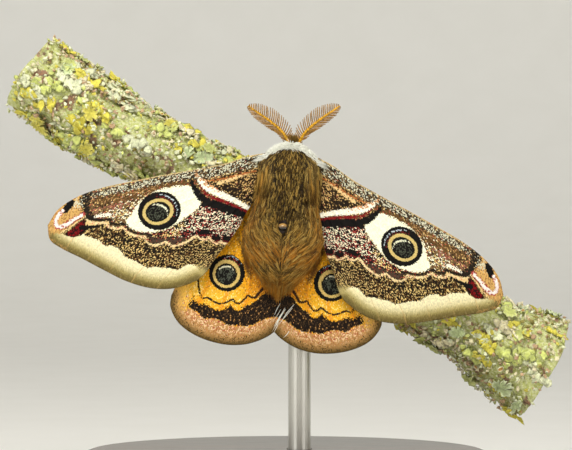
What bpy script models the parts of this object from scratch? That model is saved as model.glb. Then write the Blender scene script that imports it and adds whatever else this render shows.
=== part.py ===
"""A male emperor moth at rest on a cut length of lichened branch, life size, on a plain display stand.

Metres, +Z up. The moth's back faces -Y, and its head points up. The origin is the centre of the stand's
underside. The moth is built in its own frame: x to its right as seen from behind, y from back to belly, and z
from tail to head, with the zero between the forewing roots.
"""

import math
import random

import bmesh
import bpy
import numpy as np
from mathutils import Matrix, Vector

MM = 0.001
GAP = 0.3 * MM
SHARP_ANGLE = math.radians(50)

# Where the moth sits on the branch, and how it leans there.
MOTH_PLACE = Vector((0.3, -8.0, 40.2)) * MM
MOTH_LEAN = math.radians(5.5)

# The wings: a membrane with main veins thicker than it.
MEMBRANE = 0.5 * MM
VEIN_THICKNESS = 0.86 * MM
VEIN_HALF_WIDTH = 0.28 * MM
VEIN_ROOM = 0.4

# Forewing, in the moth's frame, for the right side. The two wings swing a little the same way round.
FOREWING_SWING = {"left": math.radians(3.9), "right": math.radians(3.3)}
FOREWING_PIVOT = (3.4, 1.5)
FOREWING_DEPTH = 0.0
FOREWING_CURL = 0.9
FOREWING_ROOT = [(3.4, 3.9), (3.4, 1.2), (3.4, -1.8)]
FOREWING_COSTA = [(3.4, 3.9), (5.5, 3.2), (8.5, 1.7), (12.5, 0.2), (16.5, -1.2), (20.5, -2.7), (24.0, -4.1),
                  (27.0, -5.8), (29.2, -7.8), (30.3, -10.1)]
FOREWING_EDGE = [(30.3, -10.1), (29.7, -11.9), (28.0, -12.8), (25.0, -13.7), (22.0, -14.7), (19.0, -15.6),
                 (16.0, -16.0), (13.5, -15.8), (11.5, -15.1), (9.6, -14.0)]
FOREWING_HIND = [(3.4, -1.8), (4.3, -3.2), (4.9, -4.7), (5.5, -6.5), (6.4, -8.4), (7.6, -10.5), (8.5, -12.5),
                 (9.6, -14.0)]
FOREWING_VEINS = (0.06, 0.19, 0.33, 0.47, 0.61, 0.76, 0.9)
FOREWING_STEPS = 10

# Hindwing, in the moth's frame, for the right side. Its front half lies under the forewing.
HINDWING_DEPTH = 1.5
HINDWING_CURL = 0.8
HINDWING_ROOT = [(3.9, -2.3), (3.1, -3.2), (2.3, -3.9)]
HINDWING_COSTA = [(3.9, -2.3), (6.4, -4.7), (9.6, -7.8), (12.3, -11.6), (13.95, -15.9)]
HINDWING_EDGE = [(13.95, -15.9), (13.9, -17.4), (12.9, -19.1), (11.3, -20.3), (9.0, -21.2), (6.3, -21.6),
                 (4.0, -21.4), (2.2, -20.8), (0.8, -20.0), (0.2, -19.2)]
HINDWING_INNER = [(2.3, -3.9), (2.45, -6.5), (2.0, -9.5), (1.1, -13.0), (0.5, -16.0), (0.2, -19.2)]
HINDWING_VEINS = (0.12, 0.31, 0.5, 0.69, 0.88)
HINDWING_STEPS = 8

# Both wings droop towards the branch with the distance from the body.
DROOP_SLOPE = 0.05
DROOP_BEND = 0.0014
DROOP_FROM = 3.0

# The body from neck to tail: height z, half width, half depth and centre y of each section, out to the coat's
# tips. The core lies a little below them, and locks of hair fill the rest.
TRUNK = [(5.5, 0.9, 0.8, 0.9), (5.1, 2.0, 1.6, 0.8), (4.5, 2.9, 2.4, 0.8), (3.6, 4.3, 3.1, 0.8),
         (2.6, 4.8, 3.6, 0.75), (0.8, 4.7, 3.9, 0.7), (-1.2, 4.5, 3.8, 0.5), (-3.2, 4.7, 3.3, 0.0),
         (-5.0, 5.1, 2.7, -0.6), (-7.0, 5.3, 2.3, -1.0), (-9.0, 4.7, 2.1, -1.2), (-11.0, 3.5, 1.8, -1.2),
         (-13.0, 2.1, 1.3, -0.9), (-14.8, 0.6, 0.6, -0.4)]
TRUNK_SIDES = 20
CORE_BELOW_TIPS = 0.6
HEAD_CENTRE = Vector((0.0, 3.3, 4.4)) * MM
HEAD_RADII = Vector((1.6, 1.6, 1.5)) * MM
NECK_PLANE = (Vector((0.0, 2.9, 3.9)) * MM, Vector((0.0, 0.655, 0.756)))
WAIST_PLANE = (Vector((0.0, 0.0, -5.5)) * MM, Vector((0.0, 0.0, 1.0)))
EYE_CENTRE = Vector((1.3, 3.7, 4.6)) * MM
EYE_RADIUS = 0.85 * MM

# Rows of locks: height of the roots, number, widest turn from the middle of the back in degrees, length, width,
# and the share of that turn which a lock loses from root to tip as the hair runs together on the midline.
LOCK_THICKNESS = 0.5
COAT_ROWS = {
    "thorax": [(3.3, 8, 125, 2.2, 1.7, 0.0), (1.9, 7, 100, 2.9, 2.0, -0.04), (0.2, 8, 115, 3.0, 2.0, 0.0),
               (-1.5, 7, 100, 3.0, 2.1, 0.03), (-3.0, 8, 95, 2.9, 2.0, 0.06)],
    "abdomen": [(-5.7, 7, 88, 3.3, 2.2, 0.12), (-7.4, 6, 84, 3.3, 2.1, 0.25), (-9.1, 7, 88, 3.2, 1.8, 0.35),
                (-10.8, 6, 92, 3.0, 1.5, 0.45), (-12.4, 5, 95, 2.7, 1.1, 0.5)],
}
RUFF_ROW = (3.2, 9, 118, 2.0, 1.5, 0.05)
CREST_LOCKS = [(-0.45, 0.2), (0.0, 0.4), (0.45, 0.2)]
FACE_LOCKS = [(-0.55, 0.9), (0.55, 0.9)]

# Antennae: the shaft's line from its pivot, how far the pair turns back from the body's lean, and the rami.
ANTENNA_PIVOT = Vector((0.19, 0.0, 5.74)) * MM
ANTENNA_SWING = math.radians(-5.5)
ANTENNA_SHAFT = [(0.45, 2.7, -1.0), (0.6, 1.9, -0.35), (0.95, 1.3, 0.4), (1.52, 0.9, 1.27), (2.87, 0.5, 2.49),
                 (4.35, 0.3, 3.54), (6.0, 0.3, 4.66)]
SHAFT_RADII = (0.28, 0.28, 0.26, 0.25, 0.22, 0.16)
RAMI_PER_SIDE = 8
COMB_START = 0.22
COMB_END = 0.94
RAMUS_OUTER = 1.95
RAMUS_INNER = 1.65
RAMUS_WIDTH = 0.46
RAMUS_OUTER_LEAN = math.radians(68)
RAMUS_INNER_LEAN = math.radians(42)

# Legs: root on the breast, knee and heel, then where ankle and toe lie on the bark, for all six.
LEG_RADII = (0.55, 0.6, 0.42, 0.3, 0.26)
FOOT_LIFT = 0.1
LEGS = {
    "leg_right_front": ([(1.2, 3.5, 2.0), (2.8, 5.0, 2.9), (4.4, 5.6, 1.0)], [(4.6, -1.2), (5.3, -3.4)]),
    "leg_right_mid": ([(1.4, 3.7, 0.5), (3.8, 4.6, 0.2), (5.8, 5.0, -2.4)], [(6.3, -4.8), (7.3, -6.6)]),
    "leg_right_hind": ([(1.4, 3.3, -1.4), (3.6, 3.9, -3.4), (5.2, 4.3, -7.0)], [(6.4, -9.0), (7.6, -10.6)]),
    "leg_left_front": ([(-1.2, 3.5, 2.0), (-2.9, 5.0, 3.2), (-4.8, 5.6, 2.4)], [(-6.2, 1.2), (-7.3, -0.2)]),
    "leg_left_mid": ([(-1.4, 3.7, 0.5), (-3.6, 4.6, 1.0), (-5.1, 4.9, -0.6)], [(-5.3, -2.4), (-6.1, -3.9)]),
    "leg_left_hind": ([(-1.4, 3.3, -1.4), (-3.1, 3.9, -3.4), (-4.0, 4.4, -6.0)], [(-3.4, -7.6), (-3.7, -9.0)]),
}

# The branch: its centre line in the stand's frame with the radius at each point.
BRANCH_LINE = [(-34.5, 4.0, 55.4), (-27.5, 3.2, 50.6), (-21.0, 2.7, 46.7), (-11.2, 2.2, 41.6), (-0.4, 2.0, 35.9),
               (9.7, 2.1, 30.3), (18.2, 2.5, 25.4), (24.8, 3.2, 21.6), (29.4, 3.8, 18.5), (34.6, 4.3, 15.6)]
BRANCH_RADII = (5.7, 5.5, 5.1, 4.9, 4.7, 4.7, 4.9, 5.2, 6.1, 7.4)
BRANCH_SIDES = 18
BRANCH_RINGS = 26
LICHENS = 18
LICHEN_SIZES = (1.3, 1.8, 2.5)
LICHEN_THICKNESS = 0.9
LICHEN_SINK = 0.35
SEED = 4

# The stand.
BASE_RADIUS = 27.0 * MM
BASE_HEIGHT = 5.0 * MM
BASE_BEVEL = 0.8 * MM
ROD_RADIUS = 1.5 * MM
ROD_PLACE = (1.8 * MM, 2.0 * MM)
ROD_SEAT = 2.0 * MM
ROD_TOP = 31.5 * MM

COLOURS = {
    "forewing": ((0.30, 0.24, 0.20), 0.8),
    "hindwing": ((0.85, 0.47, 0.10), 0.8),
    "fur": ((0.28, 0.19, 0.10), 0.9),
    "eye": ((0.02, 0.015, 0.01), 0.2),
    "antenna": ((0.62, 0.38, 0.10), 0.6),
    "leg": ((0.35, 0.25, 0.15), 0.8),
    "bark": ((0.50, 0.50, 0.34), 0.95),
    "stand": ((0.12, 0.11, 0.10), 0.4),
    "rod": ((0.75, 0.74, 0.72), 0.3),
}


def clear_scene():
    for obj in list(bpy.data.objects):
        bpy.data.objects.remove(obj)


def new_collection(name, shown=True):
    made = bpy.data.collections.new(name)
    bpy.context.scene.collection.children.link(made)
    made.hide_render = not shown
    return made


def new_material(name):
    colour, roughness = COLOURS[name]
    made = bpy.data.materials.new(name)
    made.use_nodes = True
    shader = made.node_tree.nodes["Principled BSDF"]
    shader.inputs["Base Color"].default_value = (*colour, 1.0)
    shader.inputs["Roughness"].default_value = roughness
    shader.inputs["Metallic"].default_value = 1.0 if name == "rod" else 0.0
    return made


def as_object(name, bm, collection, material=None):
    """An object holding what the bmesh holds, with its faces pointing out."""
    bmesh.ops.recalc_face_normals(bm, faces=bm.faces)
    mesh = bpy.data.meshes.new(name)
    bm.to_mesh(mesh)
    bm.free()
    mesh.shade_smooth()
    mesh.set_sharp_from_angle(angle=SHARP_ANGLE)
    obj = bpy.data.objects.new(name, mesh)
    collection.objects.link(obj)
    if material:
        mesh.materials.append(material)
    if collection.hide_render:
        obj.hide_render = True
        obj.display_type = "WIRE"
    return obj


def smooth_line(points, count, ends=True):
    """count points at equal steps along a smooth curve through the given ones."""
    knots = np.array(points, float)
    padded = np.vstack([2 * knots[0] - knots[1], knots, 2 * knots[-1] - knots[-2]])
    fine = []
    for i in range(1, len(padded) - 2):
        a, b, c, d = padded[i - 1:i + 3]
        for u in np.linspace(0, 1, 24, endpoint=False):
            fine.append(0.5 * (2 * b + (c - a) * u + (2 * a - 5 * b + 4 * c - d) * u ** 2
                               + (3 * b - a - 3 * c + d) * u ** 3))
    fine = np.array([*fine, knots[-1]])
    run = np.concatenate([[0], np.cumsum(np.linalg.norm(np.diff(fine, axis=0), axis=1))])
    at = np.linspace(0, run[-1], count)
    return np.stack([np.interp(at, run, fine[:, k]) for k in range(fine.shape[1])], axis=1)


def at_share(line, share):
    """The point at that share of a line whose points lie at equal steps."""
    place = share * (len(line) - 1)
    low = min(int(place), len(line) - 2)
    return line[low] + (line[low + 1] - line[low]) * (place - low)


def wing_point(sides, s, t):
    """A point of the wing's outline patch: s runs from root to outer edge, t from leading to trailing edge."""
    root, edge, lead, trail = sides
    corners = ((1 - s) * (1 - t) * root[0] + (1 - s) * t * root[-1] + s * (1 - t) * edge[0] + s * t * edge[-1])
    return ((1 - t) * at_share(lead, s) + t * at_share(trail, s) + (1 - s) * at_share(root, t)
            + s * at_share(edge, t) - corners)


def droop(x):
    out = max(0.0, x - DROOP_FROM)
    return DROOP_SLOPE * out + DROOP_BEND * out ** 2


def forewing_depth(x, s, t):
    """How far the forewing lies towards the branch: it droops, bulges between the edges and curls at the rim."""
    rim = max(0.0, (s - 0.8) / 0.2) ** 2 * (1.0 - 0.75 * max(0.0, (t - 0.5) / 0.5))
    return FOREWING_DEPTH + droop(x) + FOREWING_CURL * rim - 0.35 * math.sin(math.pi * t) * math.sin(math.pi * s)


def hindwing_depth(x, s, t):
    rim = max(0.0, (s - 0.8) / 0.2) ** 2
    return HINDWING_DEPTH + droop(x) + HINDWING_CURL * rim - 0.2 * t


def wing_rows(outline, depth, shares, steps, mirror):
    """Points of the wing's middle surface, row by row from root to outer edge."""
    sides = [smooth_line(line, 60) for line in outline]
    rows = []
    for i in range(steps + 1):
        s = i / steps
        row = []
        for t in shares(sides, s):
            x, z = wing_point(sides, s, t)
            row.append(Vector((-x if mirror else x, depth(x, s, t), z)) * MM)
        rows.append(row)
    return rows


def vein_shares(veins):
    """Shares of the chord at which a row needs points: both feet and the crest of each vein, and the edges."""
    def shares(sides, s):
        stops = [wing_point(sides, s, k / 8) for k in range(9)]
        chord = sum(np.linalg.norm(b - a) for a, b in zip(stops, stops[1:]))
        foot = min(VEIN_HALF_WIDTH / MM / chord, VEIN_ROOM * (veins[1] - veins[0]))
        return [0.0, *[vein + side * foot for vein in veins for side in (-1, 0, 1)], 1.0]
    return shares


def sheet_mesh(rows):
    bm = bmesh.new()
    made = [[bm.verts.new(p) for p in row] for row in rows]
    for low, high in zip(made, made[1:]):
        for k in range(len(low) - 1):
            bm.faces.new((low[k], low[k + 1], high[k + 1], high[k]))
    bmesh.ops.triangulate(bm, faces=bm.faces)
    return bm


def beyond(edge, inner):
    return edge + (edge - inner).normalized() * GAP


def place_wing(obj, mirror, swing, frame):
    """Turns the wing about its root by its swing, in the moth's frame."""
    pivot = Vector((-FOREWING_PIVOT[0] if mirror else FOREWING_PIVOT[0], 0.0, FOREWING_PIVOT[1])) * MM
    obj.data.transform(Matrix.Translation(-pivot))
    obj.location = pivot
    obj.rotation_euler = (0.0, swing, 0.0)
    obj.parent = frame


def add_wing(name, outline, depth, veins, steps, mirror, swing, frame, nodes, material):
    """A thin membrane with its main veins as ridges in its own surface."""
    bm = sheet_mesh(wing_rows(outline, depth, vein_shares(veins), steps, mirror))
    wing = as_object(name, bm, nodes, material)
    crest = wing.vertex_groups.new(name="veins")
    columns = 3 * len(veins) + 2
    on_crest = [i for i in range(len(wing.data.vertices)) if 0 < i % columns < columns - 1 and i % columns % 3 == 2]
    crest.add(on_crest, 1.0, "REPLACE")
    shell = wing.modifiers.new("membrane", "SOLIDIFY")
    shell.thickness = VEIN_THICKNESS
    shell.offset = 0.0
    shell.vertex_group = crest.name
    shell.thickness_vertex_group = MEMBRANE / VEIN_THICKNESS
    place_wing(wing, mirror, swing, frame)


def add_wing_room(name, outline, depth, veins, steps, mirror, swing, frame, cutters):
    """The room that the body leaves for a wing: the same surface, a gap wider all round."""
    rows = wing_rows(outline, depth, lambda sides, s: (0.0, *veins, 1.0), steps, mirror)
    rows = [[beyond(row[0], row[1]), *row, beyond(row[-1], row[-2])] for row in rows]
    rows = [[beyond(p, q) for p, q in zip(rows[0], rows[1])], *rows]
    room = as_object("room_of_" + name, sheet_mesh(rows), cutters)
    shell = room.modifiers.new("gap", "SOLIDIFY")
    shell.thickness = VEIN_THICKNESS + 2 * GAP
    shell.offset = 0.0
    place_wing(room, mirror, swing, frame)
    return room


def add_wings(frame, nodes, cutters, materials):
    rooms = []
    fore = (FOREWING_ROOT, FOREWING_EDGE, FOREWING_COSTA, FOREWING_HIND)
    hind = (HINDWING_ROOT, HINDWING_EDGE, HINDWING_COSTA, HINDWING_INNER)
    for side, mirror in (("left", True), ("right", False)):
        add_wing("forewing_" + side, fore, forewing_depth, FOREWING_VEINS, FOREWING_STEPS, mirror,
                 FOREWING_SWING[side], frame, nodes, materials["forewing"])
        add_wing("hindwing_" + side, hind, hindwing_depth, HINDWING_VEINS, HINDWING_STEPS, mirror,
                 0.0, frame, nodes, materials["hindwing"])
        rooms.append(add_wing_room("forewing_" + side, fore, forewing_depth, FOREWING_VEINS, FOREWING_STEPS, mirror,
                                   FOREWING_SWING[side], frame, cutters))
        rooms.append(add_wing_room("hindwing_" + side, hind, hindwing_depth, HINDWING_VEINS, HINDWING_STEPS, mirror,
                                   0.0, frame, cutters))
    return rooms


def ring_loft(rings, closed_ends=True):
    """A closed tube through rings of points that all have the same count."""
    bm = bmesh.new()
    made = [[bm.verts.new(p) for p in ring] for ring in rings]
    for low, high in zip(made, made[1:]):
        for k in range(len(low)):
            after = (k + 1) % len(low)
            bm.faces.new((low[k], low[after], high[after], high[k]))
    if closed_ends:
        bm.faces.new(made[0])
        bm.faces.new(made[-1])
    return bm


def ellipsoid(centre, radii, segments=16, rings=10):
    bm = bmesh.new()
    bmesh.ops.create_uvsphere(bm, u_segments=segments, v_segments=rings, radius=1.0)
    bmesh.ops.transform(bm, matrix=Matrix.Translation(centre) @ Matrix.Diagonal((*radii, 1.0)), verts=bm.verts)
    return bm


def trunk_section(z):
    """Half width, half depth and centre y of the coat at a height, all in millimetres."""
    table = np.array(TRUNK)[::-1]
    return [float(np.interp(z, table[:, 0], table[:, k])) for k in (1, 2, 3)]


def coat_point(z, turn, height):
    """A point at a height over the coat's tips; turn runs round the body from the middle of the back."""
    wide, deep, centre = trunk_section(z)
    wide, deep = max(0.1, wide + height), max(0.1, deep + height)
    return Vector((wide * math.sin(turn), centre - deep * math.cos(turn), z)) * MM


def trunk_loft():
    """The core under the locks, from neck to tail."""
    rings = []
    for z, _, _, _ in TRUNK:
        rings.append([coat_point(z, 2 * math.pi * k / TRUNK_SIDES, -CORE_BELOW_TIPS) for k in range(TRUNK_SIDES)])
    return ring_loft(rings)


def lock_mesh(path, widths, thicknesses, up):
    """A flat tapered lock along a path: four-sided sections and a pointed tip."""
    bm = bmesh.new()
    rings = []
    for i, place in enumerate(path[:-1]):
        ahead = (path[i + 1] - path[max(i - 1, 0)]).normalized()
        across = ahead.cross(up).normalized()
        rise = across.cross(ahead)
        wide, thick = across * widths[i] * MM / 2, rise * thicknesses[i] * MM / 2
        rings.append([bm.verts.new(place + step) for step in (wide, thick, -wide, -thick)])
    for low, high in zip(rings, rings[1:]):
        for k in range(4):
            bm.faces.new((low[k], low[(k + 1) % 4], high[(k + 1) % 4], high[k]))
    bm.faces.new(rings[0])
    tip = bm.verts.new(path[-1])
    for k in range(4):
        bm.faces.new((rings[-1][k], rings[-1][(k + 1) % 4], tip))
    return bm


def coat_lock(chance, z, turn, length, width, gather, lie):
    """A lock of the coat, rooted in the core, following the body, with its tip at the coat's surface."""
    length *= chance.uniform(0.9, 1.15)
    turn += chance.uniform(-0.08, 0.08)
    bend = chance.uniform(-0.08, 0.08)
    shape = ((0.0, -1.35), (0.3, -0.45), (0.7, -0.12), (1.0, chance.uniform(0.0, 0.2)))
    path = [coat_point(z + lie * length * share, turn * (1 - gather * share) + bend * share ** 2, height)
            for share, height in shape]
    out = (coat_point(z, turn, 0.5) - coat_point(z, turn, -0.5)).normalized()
    return lock_mesh(path, (0.8 * width, width, 0.7 * width), (LOCK_THICKNESS, LOCK_THICKNESS, 0.8 * LOCK_THICKNESS),
                     out)


def coat_row(chance, row, lie):
    z, count, widest, length, width, gather = row
    locks = []
    for k in range(count):
        turn = math.radians(widest) * (2 * (k + 0.5) / count - 1)
        locks.append(coat_lock(chance, z + chance.uniform(-0.3, 0.3), turn, length, width, gather, lie))
    return locks


def head_locks():
    """The crest between the antennae, and the short palps on the face."""
    locks = []
    for x, length in CREST_LOCKS:
        path = [Vector((x, 2.9, 4.9)) * MM, Vector((1.1 * x, 2.0, 5.5)) * MM, Vector((1.3 * x, 1.5, 5.6 + length)) * MM]
        locks.append(lock_mesh(path, (0.8, 0.7), (0.6, 0.5), Vector((0, -1, 0.5))))
    for x, length in FACE_LOCKS:
        path = [Vector((x, 4.4, 4.5)) * MM, Vector((x, 5.1, 4.1)) * MM, Vector((1.1 * x, 5.3, 4.0 - length)) * MM]
        locks.append(lock_mesh(path, (0.8, 0.7), (0.6, 0.5), Vector((0, 1, 0.3))))
    return locks


def join(obj, meshes, frame):
    """Fuses closed meshes with the object in one union, and removes what they were."""
    pile = bpy.data.collections.new("pieces_of_" + obj.name)
    bpy.context.scene.collection.children.link(pile)
    for k, bm in enumerate(meshes):
        as_object(f"piece_{obj.name}_{k}", bm, pile).parent = frame
    bpy.context.view_layer.update()
    step = obj.modifiers.new("pieces", "BOOLEAN")
    step.operation = "UNION"
    step.solver = "MANIFOLD"
    step.operand_type = "COLLECTION"
    step.collection = pile
    bake_modifiers(obj)
    for piece in list(pile.objects):
        bpy.data.objects.remove(piece)
    bpy.data.collections.remove(pile)


def boolean(obj, operation, others, solver="MANIFOLD"):
    """Joins others to obj or cuts them from it, applied."""
    for other in others:
        step = obj.modifiers.new("with_" + other.name, "BOOLEAN")
        step.operation = operation
        step.solver = solver
        step.object = other
    bake_modifiers(obj)


def bake_modifiers(obj):
    graph = bpy.context.evaluated_depsgraph_get()
    mesh = bpy.data.meshes.new_from_object(obj.evaluated_get(graph))
    obj.modifiers.clear()
    old = obj.data
    obj.data = mesh
    bpy.data.meshes.remove(old)


def keep_largest(obj):
    """Keeps only the largest closed surface of the object."""
    bm = bmesh.new()
    bm.from_mesh(obj.data)
    left = set(bm.verts)
    islands = []
    while left:
        island, front = set(), [left.pop()]
        while front:
            vert = front.pop()
            island.add(vert)
            for edge in vert.link_edges:
                other = edge.other_vert(vert)
                if other in left:
                    left.discard(other)
                    front.append(other)
        islands.append(island)
    islands.sort(key=len)
    for island in islands[:-1]:
        bmesh.ops.delete(bm, geom=list(island), context="VERTS")
    bm.to_mesh(obj.data)
    bm.free()


def half_space(name, plane, above, frame, cutters):
    """A large block that cuts away what lies above or below a plane, with half of the gap beside it."""
    point, normal = plane
    size = 60 * MM
    side = normal if above else -normal
    bm = bmesh.new()
    bmesh.ops.create_cube(bm, size=size)
    turn = side.to_track_quat("Z", "Y").to_matrix().to_4x4()
    shift = Matrix.Translation(point + side * (size / 2 - GAP / 2))
    bmesh.ops.transform(bm, matrix=shift @ turn, verts=bm.verts)
    obj = as_object(name, bm, cutters)
    obj.parent = frame
    return obj


def tube(name, line, radii, collection, material=None, sides=2, extra=0.0):
    """A round tube through points in metres, as a mesh, with its own radius at each point."""
    curve = bpy.data.curves.new(name, "CURVE")
    curve.dimensions = "3D"
    curve.bevel_depth = 1.0
    curve.bevel_resolution = sides
    curve.use_fill_caps = True
    spline = curve.splines.new("POLY")
    spline.points.add(len(line) - 1)
    for point, place, radius in zip(spline.points, line, radii):
        point.co = (*place, 1.0)
        point.radius = radius + extra
    holder = bpy.data.objects.new(name + "_line", curve)
    bpy.context.scene.collection.objects.link(holder)
    bpy.context.view_layer.update()
    mesh = bpy.data.meshes.new_from_object(holder.evaluated_get(bpy.context.evaluated_depsgraph_get()))
    bpy.data.objects.remove(holder)
    bm = bmesh.new()
    bm.from_mesh(mesh)
    bmesh.ops.remove_doubles(bm, verts=bm.verts, dist=0.00001)
    return as_object(name, bm, collection, material)


def leg_line(points, count=9):
    smooth = smooth_line([(*p, r) for p, r in zip(points, LEG_RADII)], count)
    return [Vector(p[:3]) * MM for p in smooth], [p[3] * MM for p in smooth]


def on_bark(x, z):
    """The point of the bark that lies behind x and z of the moth's frame, in that frame."""
    to_stand = Matrix.Translation(MOTH_PLACE) @ Matrix.Rotation(MOTH_LEAN, 4, "Y")
    place = to_stand @ (Vector((x, 0, z)) * MM)
    frames = branch_frames(120)

    def along(i):
        centre, radius, out, side = frames[i]
        return abs((Vector((place.x, centre.y - radius, place.z)) - centre).dot(out.cross(side)))

    nearest = min(range(len(frames)), key=along)
    centre, radius, out, side = frames[nearest]
    across = (place - centre).dot(side)
    angle = 0.0
    for _ in range(4):
        reach = radius * (1 + bark_relief(nearest / (len(frames) - 1), angle))
        angle = math.asin(max(-0.95, min(0.95, across / reach)))
    surface = centre + (out * math.cos(angle) + side * math.sin(angle)) * reach
    return tuple(to_stand.inverted() @ surface / MM)


def add_legs(frame, nodes, cutters, materials):
    rooms = []
    for name, (upper, feet) in LEGS.items():
        grip = []
        for x, z in feet:
            _, y, _ = on_bark(x, z)
            grip.append((x, y - FOOT_LIFT, z))
        line, radii = leg_line([*upper, *grip])
        tube(name, line, radii, nodes, materials["leg"]).parent = frame
        start = line[0] - (line[1] - line[0]).normalized() * GAP
        room = tube("room_of_" + name, [start, *line[1:]], radii, cutters, extra=GAP)
        room.parent = frame
        rooms.append(room)
    return rooms


def antenna_line(mirror, count):
    line = smooth_line(ANTENNA_SHAFT, count)
    return [Vector((-p[0] if mirror else p[0], p[1], p[2])) * MM for p in line]


def add_antenna(side, mirror, frame, nodes, cutters, materials):
    """A shaft with a comb of rami on either side, in the outline of a leaf."""
    name = "antenna_" + side
    line = antenna_line(mirror, 12)
    radii = [float(np.interp(i / 11, np.linspace(0, 1, len(SHAFT_RADII)), SHAFT_RADII)) * MM for i in range(12)]
    shaft = tube(name, line, radii, nodes, materials["antenna"], sides=1)
    rami = []
    out = -1 if mirror else 1
    sides = ((out, RAMUS_OUTER, RAMUS_OUTER_LEAN), (-out, RAMUS_INNER, RAMUS_INNER_LEAN))
    for k in range(RAMI_PER_SIDE):
        share = COMB_START + (COMB_END - COMB_START) * k / (RAMI_PER_SIDE - 1)
        place = at_share(line, share)
        ahead = (at_share(line, share + 0.04) - at_share(line, share - 0.04)).normalized()
        full = math.sin(math.pi * (0.28 + 0.5 * (share - COMB_START) / (COMB_END - COMB_START)))
        for way, reach, lean in sides:
            across = ahead.cross(Vector((0, 1, 0))).normalized() * way
            root = (ahead * math.cos(lean) + across * math.sin(lean)).normalized()
            end = (ahead * math.cos(0.8 * lean) + across * math.sin(0.8 * lean) + Vector((0, 0.12, 0))).normalized()
            middle = place + root * reach * full * 0.55 * MM
            path = [place, middle, middle + end * reach * full * 0.45 * MM]
            rami.append(lock_mesh(path, (RAMUS_WIDTH, 0.8 * RAMUS_WIDTH), (0.5, 0.36), Vector((0, -1, 0))))
    join(shaft, rami, None)
    keep_largest(shaft)
    start = line[0] - (line[1] - line[0]).normalized() * GAP
    room = tube("room_of_" + name, [start, line[0], line[1], line[2]], [SHAFT_RADII[0] * MM] * 4, cutters, extra=GAP)
    for obj in (shaft, room):
        obj.location = ANTENNA_PIVOT
        obj.rotation_euler = (0.0, ANTENNA_SWING, 0.0)
        obj.parent = frame
    return room


def add_body(frame, nodes, cutters, materials, rooms):
    """Trunk and head as one mass, parted at neck and waist by thin cuts, with room for eyes, wings and legs."""
    eye_rooms = []
    for side, sign in (("left", -1), ("right", 1)):
        centre = Vector((sign * EYE_CENTRE.x, EYE_CENTRE.y, EYE_CENTRE.z))
        eye = as_object("eye_" + side, ellipsoid(centre, [EYE_RADIUS] * 3, 14, 8), nodes, materials["eye"])
        eye.parent = frame
        room = as_object("room_of_eye_" + side, ellipsoid(centre, [EYE_RADIUS + GAP] * 3, 14, 8), cutters)
        room.parent = frame
        eye_rooms.append(room)
    parts = {
        "head": [half_space("below_neck", NECK_PLANE, False, frame, cutters)],
        "thorax": [half_space("above_neck", NECK_PLANE, True, frame, cutters),
                   half_space("below_waist", WAIST_PLANE, False, frame, cutters)],
        "abdomen": [half_space("above_waist", WAIST_PLANE, True, frame, cutters)],
    }
    chance = random.Random(SEED)
    locks = {
        "head": head_locks(),
        "thorax": [lock for row in COAT_ROWS["thorax"] for lock in coat_row(chance, row, -1)]
        + coat_row(chance, RUFF_ROW, 1),
        "abdomen": [lock for row in COAT_ROWS["abdomen"] for lock in coat_row(chance, row, -1)],
    }
    for name, planes in parts.items():
        body = as_object(name, trunk_loft(), nodes, materials["fur"])
        body.parent = frame
        masses = [] if name == "abdomen" else [ellipsoid(HEAD_CENTRE, HEAD_RADII)]
        join(body, [*masses, *locks[name]], frame)
        boolean(body, "DIFFERENCE", planes)
        boolean(body, "DIFFERENCE", rooms + (eye_rooms if name == "head" else []))
        keep_largest(body)


def branch_frames(count):
    """Centre, radius and two directions across, at even steps along the branch."""
    line = smooth_line([(*p, r) for p, r in zip(BRANCH_LINE, BRANCH_RADII)], count)
    frames = []
    for i in range(count):
        ahead = Vector(line[min(i + 1, count - 1)][:3] - line[max(i - 1, 0)][:3]).normalized()
        out = Vector((0, -1, 0))
        out = (out - ahead * out.dot(ahead)).normalized()
        frames.append((Vector(line[i][:3]) * MM, line[i][3] * MM, out, ahead.cross(out)))
    return frames


def bark_relief(share, angle):
    """How much the bark stands out or in, as a share of the radius."""
    return 0.05 * math.sin(3 * angle + 9 * share) + 0.04 * math.sin(5 * angle - 23 * share + 1.0) \
        + 0.03 * math.sin(31 * share + 2 * angle)


def lichen_patches(chance):
    """Flat lobed patches of lichen, sunk into the bark all round the branch."""
    frames = branch_frames(120)
    patches = []
    for k in range(LICHENS):
        i = int((k + chance.uniform(0.1, 0.9)) / LICHENS * (len(frames) - 8)) + 4
        angle = chance.uniform(-math.pi, math.pi)
        centre, radius, out, side = frames[i]
        reach = radius * (1 + bark_relief(i / (len(frames) - 1), angle))
        normal = out * math.cos(angle) + side * math.sin(angle)
        size = chance.choice(LICHEN_SIZES) * MM
        bm = bmesh.new()
        bmesh.ops.create_cone(bm, cap_ends=True, segments=6, radius1=size, radius2=0.7 * size,
                              depth=LICHEN_THICKNESS * MM)
        for vert in bm.verts:
            grow = chance.uniform(0.8, 1.2)
            vert.co.x *= grow
            vert.co.y *= grow
        turn = normal.to_track_quat("Z", "Y").to_matrix().to_4x4()
        lift = reach + (LICHEN_THICKNESS / 2 - LICHEN_SINK) * MM
        bmesh.ops.transform(bm, matrix=Matrix.Translation(centre + normal * lift) @ turn, verts=bm.verts)
        patches.append(bm)
    return patches


def add_branch(nodes, materials, rooms):
    rings = []
    for i, (centre, radius, out, side) in enumerate(branch_frames(BRANCH_RINGS)):
        ring = []
        for k in range(BRANCH_SIDES):
            angle = 2 * math.pi * k / BRANCH_SIDES
            reach = radius * (1 + bark_relief(i / (BRANCH_RINGS - 1), angle))
            ring.append(centre + (out * math.cos(angle) + side * math.sin(angle)) * reach)
        rings.append(ring)
    branch = as_object("branch", ring_loft(rings), nodes, materials["bark"])
    join(branch, lichen_patches(random.Random(SEED)), None)
    boolean(branch, "DIFFERENCE", rooms)
    keep_largest(branch)


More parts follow.
